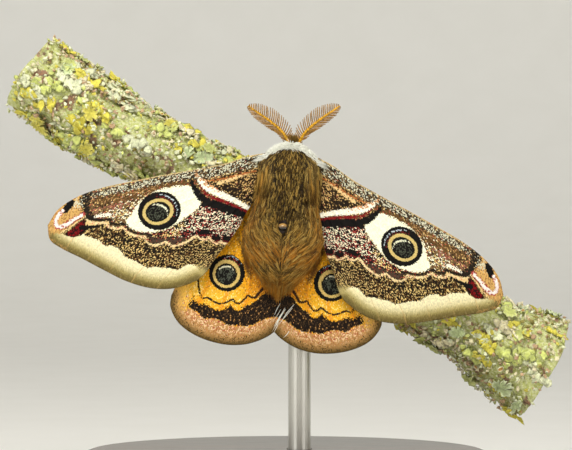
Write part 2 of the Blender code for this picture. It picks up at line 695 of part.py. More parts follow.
def add_stand(nodes, cutters, materials):
    """A round base with a blind hole, and the rod that stands in it and runs up into the branch."""
    bm = bmesh.new()
    bmesh.ops.create_cone(bm, cap_ends=True, segments=56, radius1=BASE_RADIUS, radius2=BASE_RADIUS,
                          depth=BASE_HEIGHT)
    bmesh.ops.translate(bm, verts=bm.verts, vec=(0, 0, BASE_HEIGHT / 2))
    base = as_object("stand_base", bm, nodes, materials["stand"])
    rim = base.modifiers.new("rounded_rim", "BEVEL")
    rim.width = BASE_BEVEL
    rim.segments = 2
    rod = upright("stand_rod", ROD_RADIUS, ROD_SEAT, ROD_TOP, nodes, materials["rod"])
    room = upright("room_of_rod", ROD_RADIUS + GAP, ROD_SEAT - GAP, ROD_TOP + GAP, cutters)
    boolean(base, "DIFFERENCE", [room])
    return rod, room


def upright(name, radius, low, high, collection, material=None):
    bm = bmesh.new()
    bmesh.ops.create_cone(bm, cap_ends=True, segments=24, radius1=radius, radius2=radius, depth=high - low)
    bmesh.ops.translate(bm, verts=bm.verts, vec=(*ROD_PLACE, (low + high) / 2))
    return as_object(name, bm, collection, material)


def main():
    clear_scene()
    nodes = new_collection("emperor_moth")
    cutters = new_collection("cutters", shown=False)
    materials = {name: new_material(name) for name in COLOURS}
    frame = bpy.data.objects.new("moth_frame", None)
    nodes.objects.link(frame)
    frame.location = MOTH_PLACE
    frame.rotation_euler = (0.0, MOTH_LEAN, 0.0)
    wing_rooms = add_wings(frame, nodes, cutters, materials)
    leg_rooms = add_legs(frame, nodes, cutters, materials)
    antenna_rooms = [add_antenna(side, side == "left", frame, nodes, cutters, materials)
                     for side in ("left", "right")]
    bpy.context.view_layer.update()
    add_body(frame, nodes, cutters, materials, wing_rooms + leg_rooms + antenna_rooms)
    rod, rod_room = add_stand(nodes, cutters, materials)
    add_branch(nodes, materials, [*leg_rooms, rod_room])


main()
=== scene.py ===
"""The looks of a male emperor moth at rest on a lichened branch, life size, on a plain display stand.

Everything is in metres in the stand's frame, +Z up, with the moth's back facing -Y. The moth's own frame has
x to its right as seen from behind, y from back to belly and z from tail to head, in millimetres.
"""

import math

import bpy
import numpy as np
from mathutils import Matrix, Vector, noise


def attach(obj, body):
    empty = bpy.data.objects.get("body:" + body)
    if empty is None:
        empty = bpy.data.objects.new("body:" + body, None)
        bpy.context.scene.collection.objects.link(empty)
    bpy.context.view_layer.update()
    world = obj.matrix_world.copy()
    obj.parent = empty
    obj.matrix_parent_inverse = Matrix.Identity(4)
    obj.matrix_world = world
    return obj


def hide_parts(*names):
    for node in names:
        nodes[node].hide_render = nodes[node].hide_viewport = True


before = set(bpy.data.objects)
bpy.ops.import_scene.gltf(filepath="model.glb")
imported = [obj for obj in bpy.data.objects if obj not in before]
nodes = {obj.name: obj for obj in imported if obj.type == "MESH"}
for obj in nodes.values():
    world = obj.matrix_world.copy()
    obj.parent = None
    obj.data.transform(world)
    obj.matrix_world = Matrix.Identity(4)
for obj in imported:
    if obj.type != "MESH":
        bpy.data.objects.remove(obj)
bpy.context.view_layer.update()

bpy.ops.object.select_all(action="DESELECT")

# The display base: a turned disc of dark stained hardwood with a rounded rim, lacquered to a soft shine.
# Its grain runs straight across the disc.
BASE_DARK = (46, 30, 20)
BASE_LIGHT = (84, 56, 36)


def tint(red, green, blue):
    """A colour of the screen, 0 to 255 a channel, as the shader wants it."""
    return (*[(c / 255 / 12.92 if c < 11 else ((c / 255 + 0.055) / 1.055) ** 2.4)
              for c in (red, green, blue)], 1.0)


def new_finish(name, **sockets):
    """A material with a Principled shader, and those of its sockets that are the same all over."""
    material = bpy.data.materials.new(name)
    material.use_nodes = True
    shader = material.node_tree.nodes["Principled BSDF"]
    for socket, value in sockets.items():
        shader.inputs[socket.replace("_", " ").title().replace("Ior", "IOR")].default_value = value
    return material, material.node_tree, shader


def put(tree, kind, inputs=None, **settings):
    """A shader node with its settings, and with its inputs set or linked."""
    made = tree.nodes.new("ShaderNode" + kind)
    for key, value in settings.items():
        setattr(made, key, value)
    for key, value in (inputs or {}).items():
        if isinstance(value, bpy.types.NodeSocket):
            tree.links.new(value, made.inputs[key])
        else:
            made.inputs[key].default_value = value
    return made


def mixed(tree, share, under, over):
    """Two colours mixed by a share from 0, all under, to 1, all over."""
    return put(tree, "Mix", {0: share, 6: under, 7: over}, data_type="RGBA").outputs[2]


def maths(tree, operation, first, second=0.0, clamp=False):
    """The result of one sum with two values."""
    return put(tree, "Math", {0: first, 1: second}, operation=operation, use_clamp=clamp).outputs[0]


def ranged(tree, value, *ends):
    """A value that runs between the first two ends, brought to between the last two, or else to 0 and 1."""
    return put(tree, "MapRange", {0: value, **{k + 1: end for k, end in enumerate(ends)}}).outputs[0]


def cloudy(tree, place, scale, detail, **sockets):
    """Soft noise over the surface, with about scale lumps to the metre."""
    return put(tree, "TexNoise", {"Vector": place, "Scale": scale, "Detail": detail, **sockets}).outputs[0]


def raised(tree, shader, height, strength, distance, **settings):
    """Makes a height stand out from the surface; its full depth is distance, in metres."""
    bump = put(tree, "Bump", {"Strength": strength, "Distance": distance, "Height": height}, **settings)
    tree.links.new(bump.outputs[0], shader.inputs["Normal"])


def stained_wood():
    material, tree, shader = new_finish("stained_wood", roughness=0.3, coat_weight=0.4, coat_roughness=0.15)
    place = put(tree, "TexCoord").outputs["Object"]
    drawn_out = put(tree, "Mapping", {"Vector": place, "Scale": (60.0, 900.0, 900.0)}).outputs[0]
    grain = cloudy(tree, drawn_out, 1.0, 6.0, Distortion=0.4)
    pores = cloudy(tree, drawn_out, 5.0, 3.0)
    share = maths(tree, "ADD", maths(tree, "MULTIPLY", grain, 1.3), maths(tree, "MULTIPLY", pores, 0.25))
    stain = mixed(tree, ranged(tree, share, 0.5, 1.05), tint(*BASE_DARK), tint(*BASE_LIGHT))
    tree.links.new(stain, shader.inputs["Base Color"])
    tree.links.new(ranged(tree, pores, 0.0, 1.0, 0.24, 0.4), shader.inputs["Roughness"])
    raised(tree, shader, pores, 0.25, 0.00005)
    return material


nodes["stand_base"].data.materials.clear()
nodes["stand_base"].data.materials.append(stained_wood())

# The rod: drawn stainless steel, 3 mm thick, pressed into the base and into a hole in the underside of the
# branch. Drawing has left fine lines along it.
STEEL = (196, 194, 188)


def drawn_steel():
    material, tree, shader = new_finish("drawn_steel", base_color=tint(*STEEL), metallic=1.0, roughness=0.28)
    place = put(tree, "TexCoord").outputs["Object"]
    along = put(tree, "Mapping", {"Vector": place, "Scale": (9000.0, 9000.0, 150.0)}).outputs[0]
    lines = cloudy(tree, along, 1.0, 4.0)
    tree.links.new(ranged(tree, lines, 0.0, 1.0, 0.18, 0.42), shader.inputs["Roughness"])
    raised(tree, shader, lines, 0.15, 0.00002)
    return material


nodes["stand_rod"].data.materials.clear()
nodes["stand_rod"].data.materials.append(drawn_steel())

# The branch: a cut length of dead hawthorn or blackthorn twig, grey-brown and cracked, lumpy where shoots
# have broken off, and crusted all over with pale lichen. Its centre line and radii are the model's, in
# millimetres.
MM = 0.001
BRANCH_LINE = [(-34.5, 4.0, 55.4), (-27.5, 3.2, 50.6), (-21.0, 2.7, 46.7), (-11.2, 2.2, 41.6),
               (-0.4, 2.0, 35.9), (9.7, 2.1, 30.3), (18.2, 2.5, 25.4), (24.8, 3.2, 21.6), (29.4, 3.8, 18.5),
               (34.6, 4.3, 15.6)]
BRANCH_RADII = (5.7, 5.5, 5.1, 4.9, 4.7, 4.7, 4.9, 5.2, 6.1, 7.4)
BARK_RINGS = 260
BARK_SIDES = 112
BARK_BELOW = 0.5
BARK_DARK = (62, 48, 34)
BARK_GREY = (128, 118, 98)
BARK_PINK = (164, 118, 88)
WOOD_PALE = (206, 178, 134)
WOOD_RING = (166, 130, 88)
END_SHARES = (0.93, 0.6, 0.25, 0.03)
CRUST_PALE = (216, 218, 170)
CRUST_GREEN = (184, 190, 110)
CRACK_RUN = (1.0, 1.0, 0.6)
CRACK_SIZE = 3.1
CRACK_DEPTH = 0.55
LUMP_SIZE = 2.4
LUMP_HEIGHT = 0.32
CURVE_STEPS = 24
BRANCH_STEPS = 400
TO_FRONT = np.array([0.0, -1.0, 0.0])
chance = np.random.default_rng(11)


def smooth_line(points, count):
    """count points at equal steps along a smooth curve through the given ones."""
    knots = np.array(points, float)
    padded = np.vstack([2 * knots[0] - knots[1], knots, 2 * knots[-1] - knots[-2]])
    u = np.linspace(0, 1, CURVE_STEPS, endpoint=False)[:, None]
    fine = []
    for i in range(1, len(padded) - 2):
        a, b, c, d = padded[i - 1:i + 3]
        fine.append(0.5 * (2 * b + (c - a) * u + (2 * a - 5 * b + 4 * c - d) * u ** 2
                           + (3 * b - a - 3 * c + d) * u ** 3))
    fine = np.vstack([*fine, knots[-1]])
    run = np.concatenate([[0], np.cumsum(np.linalg.norm(np.diff(fine, axis=0), axis=1))])
    at = np.linspace(0, run[-1], count)
    return np.stack([np.interp(at, run, fine[:, k]) for k in range(fine.shape[1])], axis=1)


def unit(vectors):
    """The same directions, each one unit long."""
    return vectors / np.maximum(np.linalg.norm(vectors, axis=-1, keepdims=True), 1e-12)


def bark_relief(share, angle):
    """How much the bark stands out or in, as a share of the radius."""
    return (0.05 * np.sin(3 * angle + 9 * share) + 0.04 * np.sin(5 * angle - 23 * share + 1.0)
            + 0.03 * np.sin(31 * share + 2 * angle))


branch_fine = smooth_line([(*p, r) for p, r in zip(BRANCH_LINE, BRANCH_RADII)], BRANCH_STEPS)
branch_ahead = unit(np.gradient(branch_fine[:, :3], axis=0))
branch_out = unit(TO_FRONT - branch_ahead * (branch_ahead @ TO_FRONT)[:, None])
branch_side = np.cross(branch_ahead, branch_out)


def on_branch(share, angle, height):
    """Points over the bark in millimetres, with the directions out from it and along the branch."""
    at = share * (len(branch_fine) - 1)

    def read(table):
        return np.stack([np.interp(at, np.arange(len(table)), table[:, k]) for k in range(table.shape[1])],
                        axis=-1)

    middle = read(branch_fine)
    out = read(branch_out) * np.cos(angle)[..., None] + read(branch_side) * np.sin(angle)[..., None]
    reach = middle[..., 3] * (1 + bark_relief(share, angle)) + height
    return middle[..., :3] + out * reach[..., None], out, read(branch_ahead)


def as_piece(name, places, faces, material):
    """An object from points in metres and arrays of faces, each array with its own number of corners."""
    mesh = bpy.data.meshes.new(name)
    mesh.vertices.add(len(places))
    mesh.vertices.foreach_set("co", np.asarray(places, np.float32).ravel())
    sizes = np.concatenate([np.full(len(f), f.shape[1]) for f in faces])
    mesh.loops.add(int(sizes.sum()))
    corners = np.concatenate([np.asarray(f).ravel() for f in faces]).astype(np.int32)
    mesh.loops.foreach_set("vertex_index", corners)
    mesh.polygons.add(len(sizes))
    mesh.polygons.foreach_set("loop_start", np.concatenate([[0], np.cumsum(sizes)[:-1]]).astype(np.int32))
    mesh.update(calc_edges=True)
    mesh.polygons.foreach_set("use_smooth", np.ones(len(sizes), bool))
    mesh.materials.append(material)
    made = bpy.data.objects.new(name, mesh)
    bpy.context.scene.collection.objects.link(made)
    return made


def note(piece, name, values):
    """Keeps a number, or a colour, for each point of the piece, for its material to read."""
    values = np.asarray(values, np.float32)
    kind = "FLOAT" if values.ndim == 1 else "FLOAT_COLOR"
    held = piece.data.attributes.new(name, kind, "POINT")
    held.data.foreach_set("value" if kind == "FLOAT" else "color", values.ravel())


def net(rows, columns, wrap=False):
    """Quads over a grid of points, row by row, closed round each row if it wraps."""
    i = np.arange(rows - 1)[:, None]
    j = np.arange(columns if wrap else columns - 1)[None, :]
    after = (j + 1) % columns
    return np.stack([i * columns + j, i * columns + after, (i + 1) * columns + after, (i + 1) * columns + j],
                    axis=-1).reshape(-1, 4)


def end_caps(rings, sides):
    """The two flat ends of a tube of that many rings, the first one turned over."""
    return np.array([np.arange(sides)[::-1], np.arange(sides) + (rings - 1) * sides])


def rough(places, size, detail=4):
    """Fractal noise from about -1 to 1 at points in millimetres, with lumps of that size."""
    places = np.asarray(places).reshape(-1, 3) / size
    return np.array([noise.fractal(Vector(p), 0.9, 2.0, detail) for p in places])


def crack_line(places):
    """How near each point is to the middle of a crack: 0.5 at the middle, and below 0 beyond its edges."""
    return 0.5 - np.abs(rough(places * CRACK_RUN, CRACK_SIZE, 3)) * 5


def bark():
    material, tree, shader = new_finish("crusted_bark", roughness=0.9)
    place = put(tree, "TexCoord").outputs["Object"]
    wide = cloudy(tree, place, 420.0, 5.0, Roughness=0.6)
    fine = cloudy(tree, place, 2600.0, 4.0, Roughness=0.7)
    grit = put(tree, "TexVoronoi", {"Vector": place, "Scale": 3600.0})
    hollow = put(tree, "Attribute", attribute_name="hollow").outputs["Fac"]
    wood = mixed(tree, ranged(tree, fine, 0.35, 0.62), tint(*BARK_GREY), tint(*BARK_PINK))
    crust = mixed(tree, ranged(tree, fine, 0.42, 0.6), tint(*CRUST_GREEN), tint(*CRUST_PALE))
    covered = mixed(tree, ranged(tree, wide, 0.38, 0.44), wood, crust)
    cracked = mixed(tree, ranged(tree, hollow, 0.25, 0.75), covered, tint(*BARK_DARK))
    tree.links.new(cracked, shader.inputs["Base Color"])
    height = maths(tree, "ADD", fine, maths(tree, "MULTIPLY", grit.outputs["Distance"], 0.5))
    raised(tree, shader, height, 0.8, 0.0002)
    return material


def sawn_wood():
    """The cut ends: pale wood with yearly rings, which follow a number that runs from 0 at the heart to 1."""
    material, tree, shader = new_finish("sawn_wood", roughness=0.8)
    place = put(tree, "TexCoord").outputs["Object"]
    wobble = cloudy(tree, place, 700.0, 3.0)
    heart = put(tree, "Attribute", attribute_name="heart").outputs["Fac"]
    phase = maths(tree, "ADD", maths(tree, "MULTIPLY", heart, 62.0), maths(tree, "MULTIPLY", wobble, 5.0))
    ring = maths(tree, "ADD", maths(tree, "MULTIPLY", maths(tree, "SINE", phase), 0.5), 0.5)
    wood = mixed(tree, ring, tint(*WOOD_PALE), tint(*WOOD_RING))
    weathered = mixed(tree, ranged(tree, wobble, 0.45, 0.7, 0.0, 0.6), wood, tint(*BARK_GREY))
    tree.links.new(weathered, shader.inputs["Base Color"])
    raised(tree, shader, ring, 0.3, 0.0001)
    return material


around = np.linspace(0, 2 * np.pi, BARK_SIDES, endpoint=False)
shares, angles = np.meshgrid(np.linspace(0, 1, BARK_RINGS), around, indexing="ij")
core, bark_outward, _ = on_branch(shares, angles, -BARK_BELOW)
lumps = rough(core, LUMP_SIZE).reshape(shares.shape)
cracks = np.clip(crack_line(core).reshape(shares.shape), 0, 1)
core = core + bark_outward * (LUMP_HEIGHT * lumps - CRACK_DEPTH * cracks)[..., None]
ends = []
for end in (0, -1):
    middle = core[end].mean(axis=0)
    ends.append([middle + (core[end] - middle) * share for share in END_SHARES])
rings = np.concatenate([np.array(ends[0][::-1]), core, np.array(ends[1])]).reshape(-1, 3)
END_RINGS = len(END_SHARES)
count = BARK_RINGS + 2 * END_RINGS
branch = as_piece("branch_bark", rings * MM, [net(count, BARK_SIDES, wrap=True), end_caps(count, BARK_SIDES)],
                  bark())
smooth_end = np.zeros(END_RINGS * BARK_SIDES)
note(branch, "hollow", np.concatenate([smooth_end, cracks.ravel(), smooth_end]))
note(branch, "heart", np.repeat([*END_SHARES[::-1], *np.ones(BARK_RINGS), *END_SHARES], BARK_SIDES))
branch.data.materials.append(sawn_wood())
band = np.arange(len(branch.data.polygons)) // BARK_SIDES
sawn = (band < END_RINGS - 1) | (band > count - END_RINGS - 1)
branch.data.polygons.foreach_set("material_index", sawn.astype(np.int32))
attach(branch, "root")
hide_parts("branch")

# The leafy lichens: thin lobed plates in rosettes, yellow-green and grey-green with paler rims that curl up,
# and between them thousands of small pale crumbs of the same growth, so that little bark shows.
ROSETTES = 270
LOBES_EACH = 11
LOBE_SIDES = 11
CRUMBS = 6800
CRUMB_SIDES = 6
RADIAN_ROUND_BRANCH = 5.0
LICHEN_OLIVE = (142, 132, 62)
LICHEN_TONES = ((222, 210, 80), (212, 222, 120), (236, 242, 200), (240, 232, 188), (196, 160, 118),
                LICHEN_OLIVE)
LOBE_RIMS = ((232, 222, 96), (206, 214, 140), (232, 234, 200), (238, 230, 200))
CRUMB_RIMS = ((228, 220, 110), (206, 212, 150), (234, 236, 206), (238, 228, 196), (222, 188, 160),
              (172, 160, 96))


def plain(colours):
    """Colours of the screen as rows of three, for paint that is kept on a piece's points."""
    return np.array([tint(*c)[:3] for c in colours])


def paint_over(piece, colours):
    """Keeps a colour for each point of the piece, under the name paint."""
    note(piece, "paint", np.concatenate([colours, np.ones((*colours.shape[:-1], 1))], axis=-1).reshape(-1, 4))


def copied(faces, many, size):
    """The faces of one shape of size points, once for each of many such shapes in a row."""
    step = (np.arange(many) * size)[:, None, None]
    return [(f[None] + step).reshape(-1, f.shape[1]) for f in faces]


def plates(name, middles, out, ahead, length, width, lift, curl, colours, rims, sides, lobes):
    """Small plates in one mesh: a domed top and a flat underside that meet in a wavy rim."""
    many = len(middles)
    turn = np.linspace(0, 2 * np.pi, sides, endpoint=False)
    waves = np.round(chance.uniform(2.5, 4.5, (many, 1)))
    wave = 1 + lobes[:, None] * np.sin(turn * waves + chance.uniform(0, 6, (many, 1)))
    across = np.cross(out, ahead)
    forward = np.cos(turn) * 0.5 + 0.5
    rim_a = forward * wave * length[:, None]
    rim_b = np.sin(turn) * 0.5 * wave * width[:, None] * (0.62 + 0.38 * forward)
    points = []
    for share, up in ((0.0, 0.10), (0.55, 0.14), (1.0, 0.0)):
        a = 0.5 * length[:, None] * (1 - share) + rim_a * share
        b = rim_b * share
        rise = lift[:, None] * a + curl[:, None] * share ** 2 * (0.4 + 0.6 * a / length[:, None]) + up
        ring = (middles[:, None] + ahead[:, None] * a[..., None] + across[:, None] * b[..., None]
                + out[:, None] * rise[..., None])
        points.append(ring[:, :1] if share == 0 else ring)
    belly = points[0] - out[:, None] * 0.3
    places = np.concatenate([*points, belly], axis=1)
    size = places.shape[1]
    k = np.arange(sides)
    after = (k + 1) % sides
    fan = np.stack([np.zeros_like(k), 1 + k, 1 + after], axis=1)
    round_it = np.stack([1 + k, 1 + sides + k, 1 + sides + after, 1 + after], axis=1)
    under = np.stack([np.full_like(k, size - 1), 1 + sides + after, 1 + sides + k], axis=1)
    piece = as_piece(name, places.reshape(-1, 3) * MM, copied((fan, round_it, under), many, size), leafy)
    shade = np.concatenate([np.full(1, 0.15), np.full(sides, 0.25), np.full(sides, 1.0), np.zeros(1)])
    paint_over(piece, colours[:, None] * (1 - shade)[None, :, None] + rims[:, None] * shade[None, :, None])
    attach(piece, "root")


def lichen(name):
    material, tree, shader = new_finish(name, roughness=0.85)
    place = put(tree, "TexCoord").outputs["Object"]
    paint = put(tree, "Attribute", attribute_name="paint").outputs["Color"]
    dust = cloudy(tree, place, 5200.0, 3.0, Roughness=0.7)
    shaded = mixed(tree, ranged(tree, dust, 0.3, 0.7, 0.2, 0.0), paint, tint(*LICHEN_OLIVE))
    uneven = ranged(tree, cloudy(tree, place, 1100.0, 5.0, Roughness=0.65), 0.36, 0.62, 0.66, 1.18)
    mottled = put(tree, "VectorMath", {0: shaded, 1: uneven}, operation="MULTIPLY").outputs[0]
    tree.links.new(mottled, shader.inputs["Base Color"])
    raised(tree, shader, dust, 0.5, 0.0001)
    return material


def shades(picks, colours):
    """A colour for each pick, a whole number that counts through the colours, a little lighter or darker."""
    return plain(colours)[picks] * chance.uniform(0.82, 1.12, (len(picks), 1))


leafy = lichen("leafy_lichen")
rosette_share = chance.uniform(0.01, 0.99, ROSETTES)
rosette_angle = chance.uniform(0, 2 * np.pi, ROSETTES)
rosette_kind = chance.choice(4, ROSETTES, p=[0.34, 0.3, 0.2, 0.16])
rosette_size = chance.uniform(0.8, 1.9, ROSETTES)
lobe_of = np.repeat(np.arange(ROSETTES), LOBES_EACH)
many = len(lobe_of)
way = chance.uniform(0, 2 * np.pi, many)
far = chance.uniform(0.1, 0.9, many) * rosette_size[lobe_of]
length_of_branch = float(np.linalg.norm(np.diff(branch_fine[:, :3], axis=0), axis=1).sum())
lobe_share = np.clip(rosette_share[lobe_of] + np.cos(way) * far / length_of_branch, 0.003, 0.997)
lobe_angle = rosette_angle[lobe_of] + np.sin(way) * far / RADIAN_ROUND_BRANCH
seat, lobe_out, lobe_ahead = on_branch(lobe_share, lobe_angle, -0.3 + 0.2 * chance.random(many))
heading = unit(lobe_ahead * np.cos(way)[:, None] + np.cross(lobe_out, lobe_ahead) * np.sin(way)[:, None])
lobe_length = chance.uniform(0.7, 1.25, many) * rosette_size[lobe_of] ** 0.6
plates("lichen_lobes", seat, lobe_out, heading, lobe_length, lobe_length * chance.uniform(0.8, 1.2, many),
       chance.uniform(0.0, 0.35, many), chance.uniform(-0.05, 0.28, many),
       shades(rosette_kind[lobe_of], LICHEN_TONES), shades(rosette_kind[lobe_of], LOBE_RIMS),
       LOBE_SIDES, chance.uniform(0.08, 0.2, many))

crumb_share, crumb_angle = chance.uniform(0.002, 0.998, CRUMBS), chance.uniform(0, 2 * np.pi, CRUMBS)
seat, crumb_out, crumb_ahead = on_branch(crumb_share, crumb_angle, chance.uniform(-0.5, 0.0, CRUMBS))
way = chance.uniform(0, 2 * np.pi, CRUMBS)
heading = unit(crumb_ahead * np.cos(way)[:, None] + np.cross(crumb_out, crumb_ahead) * np.sin(way)[:, None]
               + crumb_out * chance.uniform(0.0, 0.9, CRUMBS)[:, None])
tipped = unit(np.cross(heading, np.cross(crumb_out, heading)))
crumb_length = chance.uniform(0.35, 0.95, CRUMBS)
off_cracks = crack_line(seat) < 0.2
seat, tipped, heading, crumb_length = (v[off_cracks] for v in (seat, tipped, heading, crumb_length))
many = len(seat)
patchy = rough(seat, 5.0, 2)
crumb_kind = np.clip(np.round(2.5 + 2.2 * patchy + chance.normal(0, 1.1, many)), 0, 5).astype(int)
plates("lichen_crumbs", seat, tipped, heading, crumb_length, crumb_length * chance.uniform(0.6, 1.1, many),
       chance.uniform(-0.1, 0.3, many), chance.uniform(-0.05, 0.2, many),
       shades(crumb_kind, LICHEN_TONES), shades(crumb_kind, CRUMB_RIMS), CRUMB_SIDES,
       chance.uniform(0.1, 0.3, many))

# The broad leafy lichens: flat sheets pressed to the bark, cut into rounded lobes with ruffled paler rims.
# Yellow ones crowd the underside of the upper end, pale green ones the lower end.
LEAVES = 96
LEAF_SIDES = 48
LEAF_RINGS = (0.0, 0.3, 0.6, 0.8, 0.93, 1.0)
LEAF_TONES = ((210, 200, 82), (196, 204, 118), (196, 212, 156))
LEAF_RIMS = ((226, 218, 126), (216, 222, 158), (222, 232, 192))


def leaves():
    share = chance.uniform(0.02, 0.98, LEAVES)
    angle = chance.uniform(0, 2 * np.pi, LEAVES)
    yellow = chance.random(LEAVES) < np.where((share < 0.4) & (np.abs(angle - 0.9) < 0.9), 0.9, 0.25)
    kind = np.where(yellow, 0, np.where(chance.random(LEAVES) < 0.6, 1, 2))
    turn = np.linspace(0, 2 * np.pi, LEAF_SIDES, endpoint=False)
    lobes = np.round(chance.uniform(3.5, 6.5, (LEAVES, 1)))
    start = chance.uniform(0, 6, (LEAVES, 4))
    uneven = turn + 0.5 * np.sin(turn + start[:, 1:2]) + 0.25 * np.sin(2 * turn + start[:, 2:3])
    cleft = np.exp(-(np.sin(lobes * uneven / 2 + start[:, :1]) / 0.22) ** 2)
    crimp = 0.05 * np.sin(3 * lobes * uneven + start[:, 1:2])
    crimp = crimp + 0.02 * chance.normal(0, 1, (LEAVES, LEAF_SIDES))
    sprawl = 1 + 0.35 * np.sin(turn + start[:, 2:3]) + 0.2 * np.sin(2 * turn + start[:, 3:])
    reach = chance.uniform(0.7, 1.35, (LEAVES, 1)) * sprawl * (0.86 - 0.42 * cleft + crimp)
    ruffle = 0.14 * np.sin(2 * lobes * turn + start[:, 3:]) + 0.03 * chance.normal(0, 1, (LEAVES, LEAF_SIDES))
    base = chance.uniform(0.0, 0.35, (LEAVES, 1))
    rows = []
    for ring in (*LEAF_RINGS, LEAF_RINGS[-1]):
        a, b = reach * ring * np.cos(turn), reach * ring * np.sin(turn)
        height = base + 0.12 + (0.15 + ruffle) * ring ** 3 - 0.14 * (len(rows) == len(LEAF_RINGS))
        rows.append(on_branch(np.clip(share[:, None] + a / length_of_branch, 0.002, 0.998),
                              angle[:, None] + b / RADIAN_ROUND_BRANCH, height)[0])
    middle = rows[0][:, :1]
    under = on_branch(share, angle, base[:, 0] - 0.3)[0][:, None]
    places = np.concatenate([middle, *rows[1:], under], axis=1)
    size = places.shape[1]
    k = np.arange(LEAF_SIDES)
    after = (k + 1) % LEAF_SIDES
    last = 1 + (len(rows) - 2) * LEAF_SIDES
    fan = np.stack([np.zeros_like(k), 1 + k, 1 + after], axis=1)
    sheet = net(len(rows) - 1, LEAF_SIDES, wrap=True) + 1
    below = np.stack([np.full_like(k, size - 1), last + after, last + k], axis=1)
    faces = copied((fan[:, ::-1], sheet, below[:, ::-1]), LEAVES, size)
    piece = as_piece("lichen_leaves", places.reshape(-1, 3) * MM, faces, leafy)
    tone = plain(LEAF_TONES)[kind] * chance.uniform(0.8, 1.1, (LEAVES, 1))
    rim = plain(LEAF_RIMS)[kind]
    shade = np.concatenate([[0.0], np.repeat([0.05, 0.1, 0.3, 0.8, 1.0, 0.6], LEAF_SIDES), [0.0]])[:, None]
    # The turned-under edge of each rim and the point beneath the sheet are painted dark: painted shade under
    # the sheet. The middle of the top is a little darker too.
    dim = np.concatenate([[0.9], np.repeat([0.95, 1.0, 1.0, 1.0, 1.0, 0.5], LEAF_SIDES), [0.4]])[:, None]
    paint_over(piece, (tone[:, None] * (1 - shade) + rim[:, None] * shade) * dim)
    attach(piece, "root")


leaves()

# The lichens' fruit cups: round discs, orange-brown inside, with a pale raised rim, in small groups. They
# stand in groups of three on the bark, among the leafy lichens.
CUPS = 36
CUP_SIDES = 18
CUP_PROFILE = [(0.0, -0.3), (0.45, -0.2), (0.86, 0.16), (1.0, 0.4), (0.94, 0.5), (0.82, 0.44), (0.66, 0.26),
               (0.3, 0.2)]
CUP_LIP = 6
CUP_DISC = (198, 148, 84)
CUP_RIM = (226, 226, 190)


def cups():
    share = np.repeat(chance.uniform(0.02, 0.98, CUPS // 3), 3) + chance.normal(0, 0.012, CUPS)
    angle = np.repeat(chance.uniform(0, 2 * np.pi, CUPS // 3), 3) + chance.normal(0, 0.22, CUPS)
    seat, out, ahead = on_branch(np.clip(share, 0.01, 0.99), angle, chance.uniform(0.05, 0.3, CUPS))
    out = unit(out + 0.4 * chance.normal(0, 1, (CUPS, 3)))
    ahead = unit(np.cross(out, np.cross(ahead, out)))
    across = np.cross(out, ahead)
    turn = np.linspace(0, 2 * np.pi, CUP_SIDES, endpoint=False)
    size = chance.uniform(0.3, 0.6, CUPS)[:, None]
    ripple = 1 + 0.06 * np.sin(3 * turn[None, :] + chance.uniform(0, 6, (CUPS, 1)))
    rows = []
    for radius, height in CUP_PROFILE:
        reach = max(radius, 0.02) * size * ripple
        rows.append(seat[:, None] + ahead[:, None] * (np.cos(turn) * reach)[..., None]
                    + across[:, None] * (np.sin(turn) * reach)[..., None]
                    + out[:, None] * (height * size * np.ones(CUP_SIDES))[..., None])
    places = np.stack(rows, axis=1)
    rings = len(CUP_PROFILE)
    caps = end_caps(rings, CUP_SIDES)
    faces = copied((net(rings, CUP_SIDES, wrap=True), caps[1:], caps[:1]), CUPS, rings * CUP_SIDES)
    piece = as_piece("lichen_cups", places.reshape(-1, 3) * MM, faces, lichen("cup_lichen"))
    inside = (np.arange(rings) >= CUP_LIP).astype(float)[None, :, None, None]
    rim, disc = plain((CUP_RIM, CUP_DISC))
    paint = (rim * (1 - inside) + disc * inside) * chance.uniform(0.8, 1.1, (CUPS, 1, 1, 1))
    paint_over(piece, paint * np.ones((CUPS, rings, CUP_SIDES, 1)))
    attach(piece, "root")


cups()

# The moth's skin: one unbroken surface of thin dark cuticle over head, thorax and abdomen. It lies under the
# coat, so it follows the coat's own sections, a hair's depth further in.
MOTH_PLACE = np.array([0.3, -8.0, 40.2])
MOTH_LEAN = math.radians(5.5)
TRUNK = np.array([(5.5, 0.9, 0.8, 0.9), (5.1, 2.0, 1.6, 0.8), (4.5, 2.9, 2.4, 0.8), (3.6, 3.8, 3.1, 0.8),
                  (2.6, 4.3, 3.6, 0.75), (0.8, 4.2, 3.9, 0.7), (-1.2, 4.15, 3.8, 0.5), (-3.2, 4.4, 3.3, 0.0),
                  (-5.0, 4.8, 2.7, -0.6), (-7.0, 5.3, 2.3, -1.0), (-9.0, 4.7, 2.1, -1.2),
                  (-11.0, 3.5, 1.8, -1.2), (-13.0, 2.1, 1.3, -0.9), (-14.8, 0.6, 0.6, -0.4)])[::-1]
SKIN_BELOW_TIPS = 0.8
HEAD_CENTRE = np.array([0.0, 3.3, 4.4])
HEAD_RADII = np.array([1.45, 1.45, 1.35])
SKIN_TOP, SKIN_TAIL = 5.4, -12.9
SKIN_RINGS = 70
SKIN_SIDES = 48
CUTICLE = (48, 32, 20)


def to_stand(places):
    """Points of the moth's frame, in millimetres, as points of the stand's frame in metres."""
    x, y, z = np.moveaxis(np.asarray(places, float), -1, 0)
    cos, sin = math.cos(MOTH_LEAN), math.sin(MOTH_LEAN)
    return (np.stack([x * cos + z * sin, y, z * cos - x * sin], axis=-1) + MOTH_PLACE) * MM


def coat_point(z, turn, height):
    """A point at a height over the coat's tips; turn runs round the body from the middle of the back."""
    wide, deep, centre = (np.interp(z, TRUNK[:, 0], TRUNK[:, k]) for k in (1, 2, 3))
    wide, deep = np.maximum(0.1, wide + height), np.maximum(0.1, deep + height)
    return np.stack([wide * np.sin(turn), centre - deep * np.cos(turn), z * np.ones_like(wide)], axis=-1)


